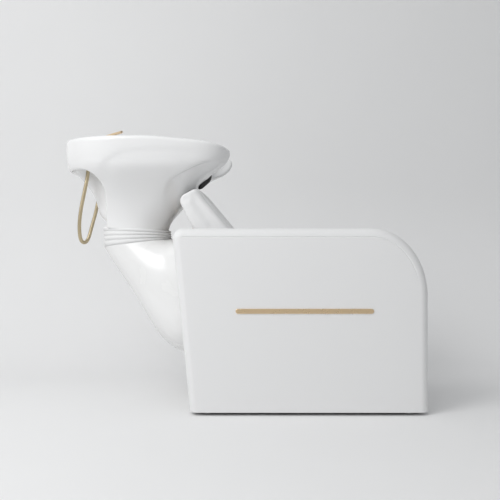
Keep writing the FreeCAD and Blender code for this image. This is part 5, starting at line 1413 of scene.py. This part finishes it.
def hose_tree() -> bpy.types.NodeTree:
    """Builds the node tree that winds a ribbed metal hose along a curve.

    Returns:
        A tree with inputs for the radius, the rib's pitch and height, and the material.
    """
    rings_in_rib = 6.0
    inputs = {"Line": "NodeSocketGeometry", "Material": "NodeSocketMaterial"}
    inputs |= dict.fromkeys(("Radius", "Pitch", "Rib"), "NodeSocketFloat")
    graph, entry, leave = new_group("ribbed hose", "GeometryNodeTree", inputs, {"Hose": "NodeSocketGeometry"})
    step = graph.math("DIVIDE", entry["Pitch"], rings_in_rib)
    fine = graph.add("GeometryNodeResampleCurve", {"mode": "LENGTH"}, Curve=entry["Line"], Length=step)
    run = graph.add("GeometryNodeSplineParameter").outputs["Length"]
    phase = graph.math("MULTIPLY", graph.math("DIVIDE", run, entry["Pitch"]), 2 * math.pi)
    wave = graph.math("MULTIPLY", graph.math("COSINE", phase), entry["Rib"])
    thickness = graph.math("ADD", entry["Radius"], wave)
    section = graph.add("GeometryNodeCurvePrimitiveCircle", Resolution=18, Radius=1.0).outputs["Curve"]
    tube = graph.add(
        "GeometryNodeCurveToMesh", Curve=fine.outputs["Curve"], Profile_Curve=section, Scale=thickness
    )
    tube.inputs["Fill Caps"].default_value = True
    smooth = graph.add("GeometryNodeSetShadeSmooth", Geometry=tube.outputs["Mesh"])
    real = graph.add("GeometryNodeRealizeInstances", Geometry=smooth.outputs["Geometry"])
    ribbed = real.outputs["Geometry"]
    plated = graph.add("GeometryNodeSetMaterial", Geometry=ribbed, Material=entry["Material"])
    graph.feed(leave["Hose"], plated.outputs["Geometry"])
    return graph.tree


@dataclass
class ShowerHose:
    """The gold hose that hangs in a loop behind the bowl.

    Attributes:
        radius: Outer radius.
        pitch: Length of one rib.
        rib: Height of a rib.
        route: Control points from the nipple under the deck to the hand shower.
    """

    radius: float = 0.0065
    pitch: float = 0.0036
    rib: float = 0.0003
    route: tuple[Triple, ...] = (
        (-0.527, -0.112, 0.8617),
        (-0.527, -0.112, 0.815),
        (-0.543, -0.099, 0.752),
        (-0.560, -0.084, 0.690),
        (-0.572, -0.066, 0.628),
        (-0.574, -0.034, 0.569),
        (-0.561, 0.020, 0.567),
        (-0.551, 0.048, 0.628),
        (-0.536, 0.066, 0.696),
        (-0.531, 0.088, 0.766),
        (-0.531, 0.112, 0.836),
        (-0.531, 0.112, 0.8877),
    )

    def line(self) -> bpy.types.Object:
        """The hose's middle line as a smooth curve object."""
        data = bpy.data.curves.new("hose_line", "CURVE")
        data.dimensions = "3D"
        data.resolution_u = 24
        spline = data.splines.new("NURBS")
        spline.points.add(len(self.route) - 1)
        for knot, point in zip(spline.points, self.route):
            knot.co = (*point, 1.0)
        spline.order_u = 3
        spline.use_endpoint_u = True
        return linked("hose_line", data)

    def build(self) -> None:
        """Winds the hose along its route."""
        line = self.line()
        graph = bpy.context.evaluated_depsgraph_get()
        path = [v.co.copy() for v in bpy.data.meshes.new_from_object(line.evaluated_get(graph)).vertices]
        values = {"Radius": self.radius, "Pitch": self.pitch, "Rib": self.rib}
        values["Material"] = HOSE_GOLD.material()
        hose = through_tree(line, "hanging_hose", hose_tree(), values)
        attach(hose, "bowl")
        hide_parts("shower_hose")


@dataclass
class Hardware:
    """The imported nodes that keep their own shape."""

    def build(self) -> None:
        """Gives each node its finish."""
        for finish, nodes in FINISHED_NODES.items():
            for node in nodes:
                dress(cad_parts[node], finish)
                LOG.info("%s: %s", node, finish.name)


@dataclass
class Studio:
    """Camera, sweep of pale paper and soft light.

    Attributes:
        eye: The camera's place.
        focal: The camera's focal length, for a frame 36 mm wide.
        flat: Where the floor starts to bend up, behind the chair.
        cove: Radius of the bend.
        reach: How far the paper runs to each side and to the front.
        top: Height of the wall.
        overhead: Strength of the air's light from straight above, fading to none at the level.
        frontal: Strength from straight in front, fading to none at the sides.
        air: The air's colour.
        paper_tones: The paper's two greys.
        bend_steps: Strips round the bend.
        aim: What the lamps face.
    """

    eye: Triple = (0.045, -2.6, 0.54)
    focal: float = 50.594
    flat: float = 0.42
    cove: float = 0.9
    reach: float = 6.0
    top: float = 5.0
    overhead: float = 0.60
    frontal: float = 0.35
    air: Colour = (0.97, 0.985, 1.0)
    paper_tones: Span = (0.83, 0.845)
    bend_steps: int = 24
    aim: Triple = (0.0, 0.0, 0.45)

    def build(self) -> None:
        """Sets up the whole studio."""
        self.camera()
        self.paper()
        self.lamps()
        self.sky()

    def camera(self) -> None:
        """Looks level along +Y."""
        data = bpy.data.cameras.new("portrait")
        data.lens = self.focal
        data.sensor_width = 36.0
        data.sensor_fit = "HORIZONTAL"
        data.clip_end = 60.0
        camera = linked("portrait", data)
        camera.location = self.eye
        camera.rotation_euler = (math.pi / 2, 0.0, 0.0)
        bpy.context.scene.camera = camera

    def paper(self) -> None:
        """Lays the sweep: floor, bend and wall in one sheet."""
        rows = [(-self.reach, 0.0), (-2.0, 0.0), (self.flat, 0.0)]
        for i in range(1, self.bend_steps + 1):
            turn = math.pi / 2 * i / self.bend_steps
            rows.append((self.flat + self.cove * math.sin(turn), self.cove * (1 - math.cos(turn))))
        rows.append((self.flat + self.cove, self.top))
        points = []
        for y, z in rows:
            points.append((-self.reach, y, z))
            points.append((self.reach, y, z))
        faces = [(2 * i, 2 * i + 1, 2 * i + 3, 2 * i + 2) for i in range(len(rows) - 1)]
        mesh = bpy.data.meshes.new("paper_sweep")
        mesh.from_pydata(points, [], faces)
        mesh.shade_smooth()
        sweep = linked("paper_sweep", mesh)
        mesh.materials.append(self.paper_material())

    def paper_material(self) -> bpy.types.Material:
        """Matt paper that is clear from behind."""
        material = bpy.data.materials.new("studio_paper")
        material.use_nodes = True
        material.node_tree.nodes.clear()
        graph = Graph(material.node_tree)
        place = graph.add("ShaderNodeTexCoord").outputs["Object"]
        fibre = graph.noise(place, 3.0, 2.0)
        dark, light = (with_alpha((tone, tone, tone)) for tone in self.paper_tones)
        colour = graph.tint(fibre, dark, light)
        front = graph.add("ShaderNodeBsdfDiffuse", Color=colour)
        behind = graph.add("ShaderNodeBsdfTransparent")
        seen_from_behind = graph.add("ShaderNodeNewGeometry").outputs["Backfacing"]
        mixed = graph.add("ShaderNodeMixShader", Fac=seen_from_behind)
        graph.feed(mixed.inputs[1], front.outputs["BSDF"])
        graph.feed(mixed.inputs[2], behind.outputs["BSDF"])
        graph.add("ShaderNodeOutputMaterial", Surface=mixed.outputs["Shader"])
        return material

    def lamps(self) -> None:
        """Two broad keys from the upper left."""
        self.lamp("key", place=(-2.2, -2.1, 2.5), size=2.0, watts=50.0)
        self.lamp("high_key", place=(-1.7, -2.9, 3.4), size=2.4, watts=32.0)

    def lamp(self, name: str, place: Triple, size: float, watts: float) -> None:
        """Hangs a square soft box that faces the chair.

        Args:
            name: The lamp's name.
            place: Where it hangs.
            size: Length of its side.
            watts: Its power.
        """
        data = bpy.data.lights.new(name, "AREA")
        data.size = size
        data.energy = watts
        lamp = linked(name, data)
        lamp.location = place
        lamp.rotation_euler = (Vector(self.aim) - Vector(place)).to_track_quat("-Z", "Y").to_euler()

    def sky(self) -> None:
        """Pale light from above and from the front."""
        world = bpy.data.worlds.new("studio_air")
        world.use_nodes = True
        world.node_tree.nodes.clear()
        graph = Graph(world.node_tree)
        way = graph.add("ShaderNodeSeparateXYZ", Vector=graph.add("ShaderNodeTexCoord").outputs["Generated"])
        above = graph.remap(way.outputs["Z"], 0.0, 1.0, 0.0, self.overhead)
        ahead = graph.remap(way.outputs["Y"], 0.0, -1.0, 0.0, self.frontal)
        strength = graph.math("ADD", above, ahead)
        air = graph.add("ShaderNodeBackground", Color=with_alpha(self.air), Strength=strength)
        graph.add("ShaderNodeOutputWorld", Surface=air.outputs["Background"])
        bpy.context.scene.world = world


BACK_SLOPE = math.radians(50.0)
WASTE_BEND: tuple[Triple, Triple] = ((-0.342, 0.0, 0.450), (-0.368, 0.0, 0.575))
FEED_BEND: tuple[Triple, Triple] = ((-0.387, 0.0, 0.450), (-0.436, 0.0, 0.600))


def main() -> None:
    """Builds every sub-assembly in order."""
    logging.basicConfig(level=logging.INFO, format="%(message)s")
    bpy.context.scene.view_settings.view_transform = "Standard"
    Studio().build()
    ShowerHose().build()
    Hardware().build()
    for side in Side:
        ArmPanel(side).build()
    SewnPad("seat_pad", "seat_cover", "seat_foam", facing=Vector((0.0, 0.0, 1.0))).build()
    forward = Vector((math.sin(BACK_SLOPE), 0.0, math.cos(BACK_SLOPE)))
    SewnPad("back_pad", "back_cover", "back_foam", facing=forward).build()
    GlazedBowl().build()
    NeckSaddle().build()
    PleatedSleeve().build()
    HiddenHose("waste_hose", PIPE_GREY, "pipe_plastic", *WASTE_BEND).build()
    for node in ("hot_hose", "cold_hose"):
        HiddenHose(node, BRAID, "feed_rubber", *FEED_BEND).build()


if __name__ == "__main__":
    main()
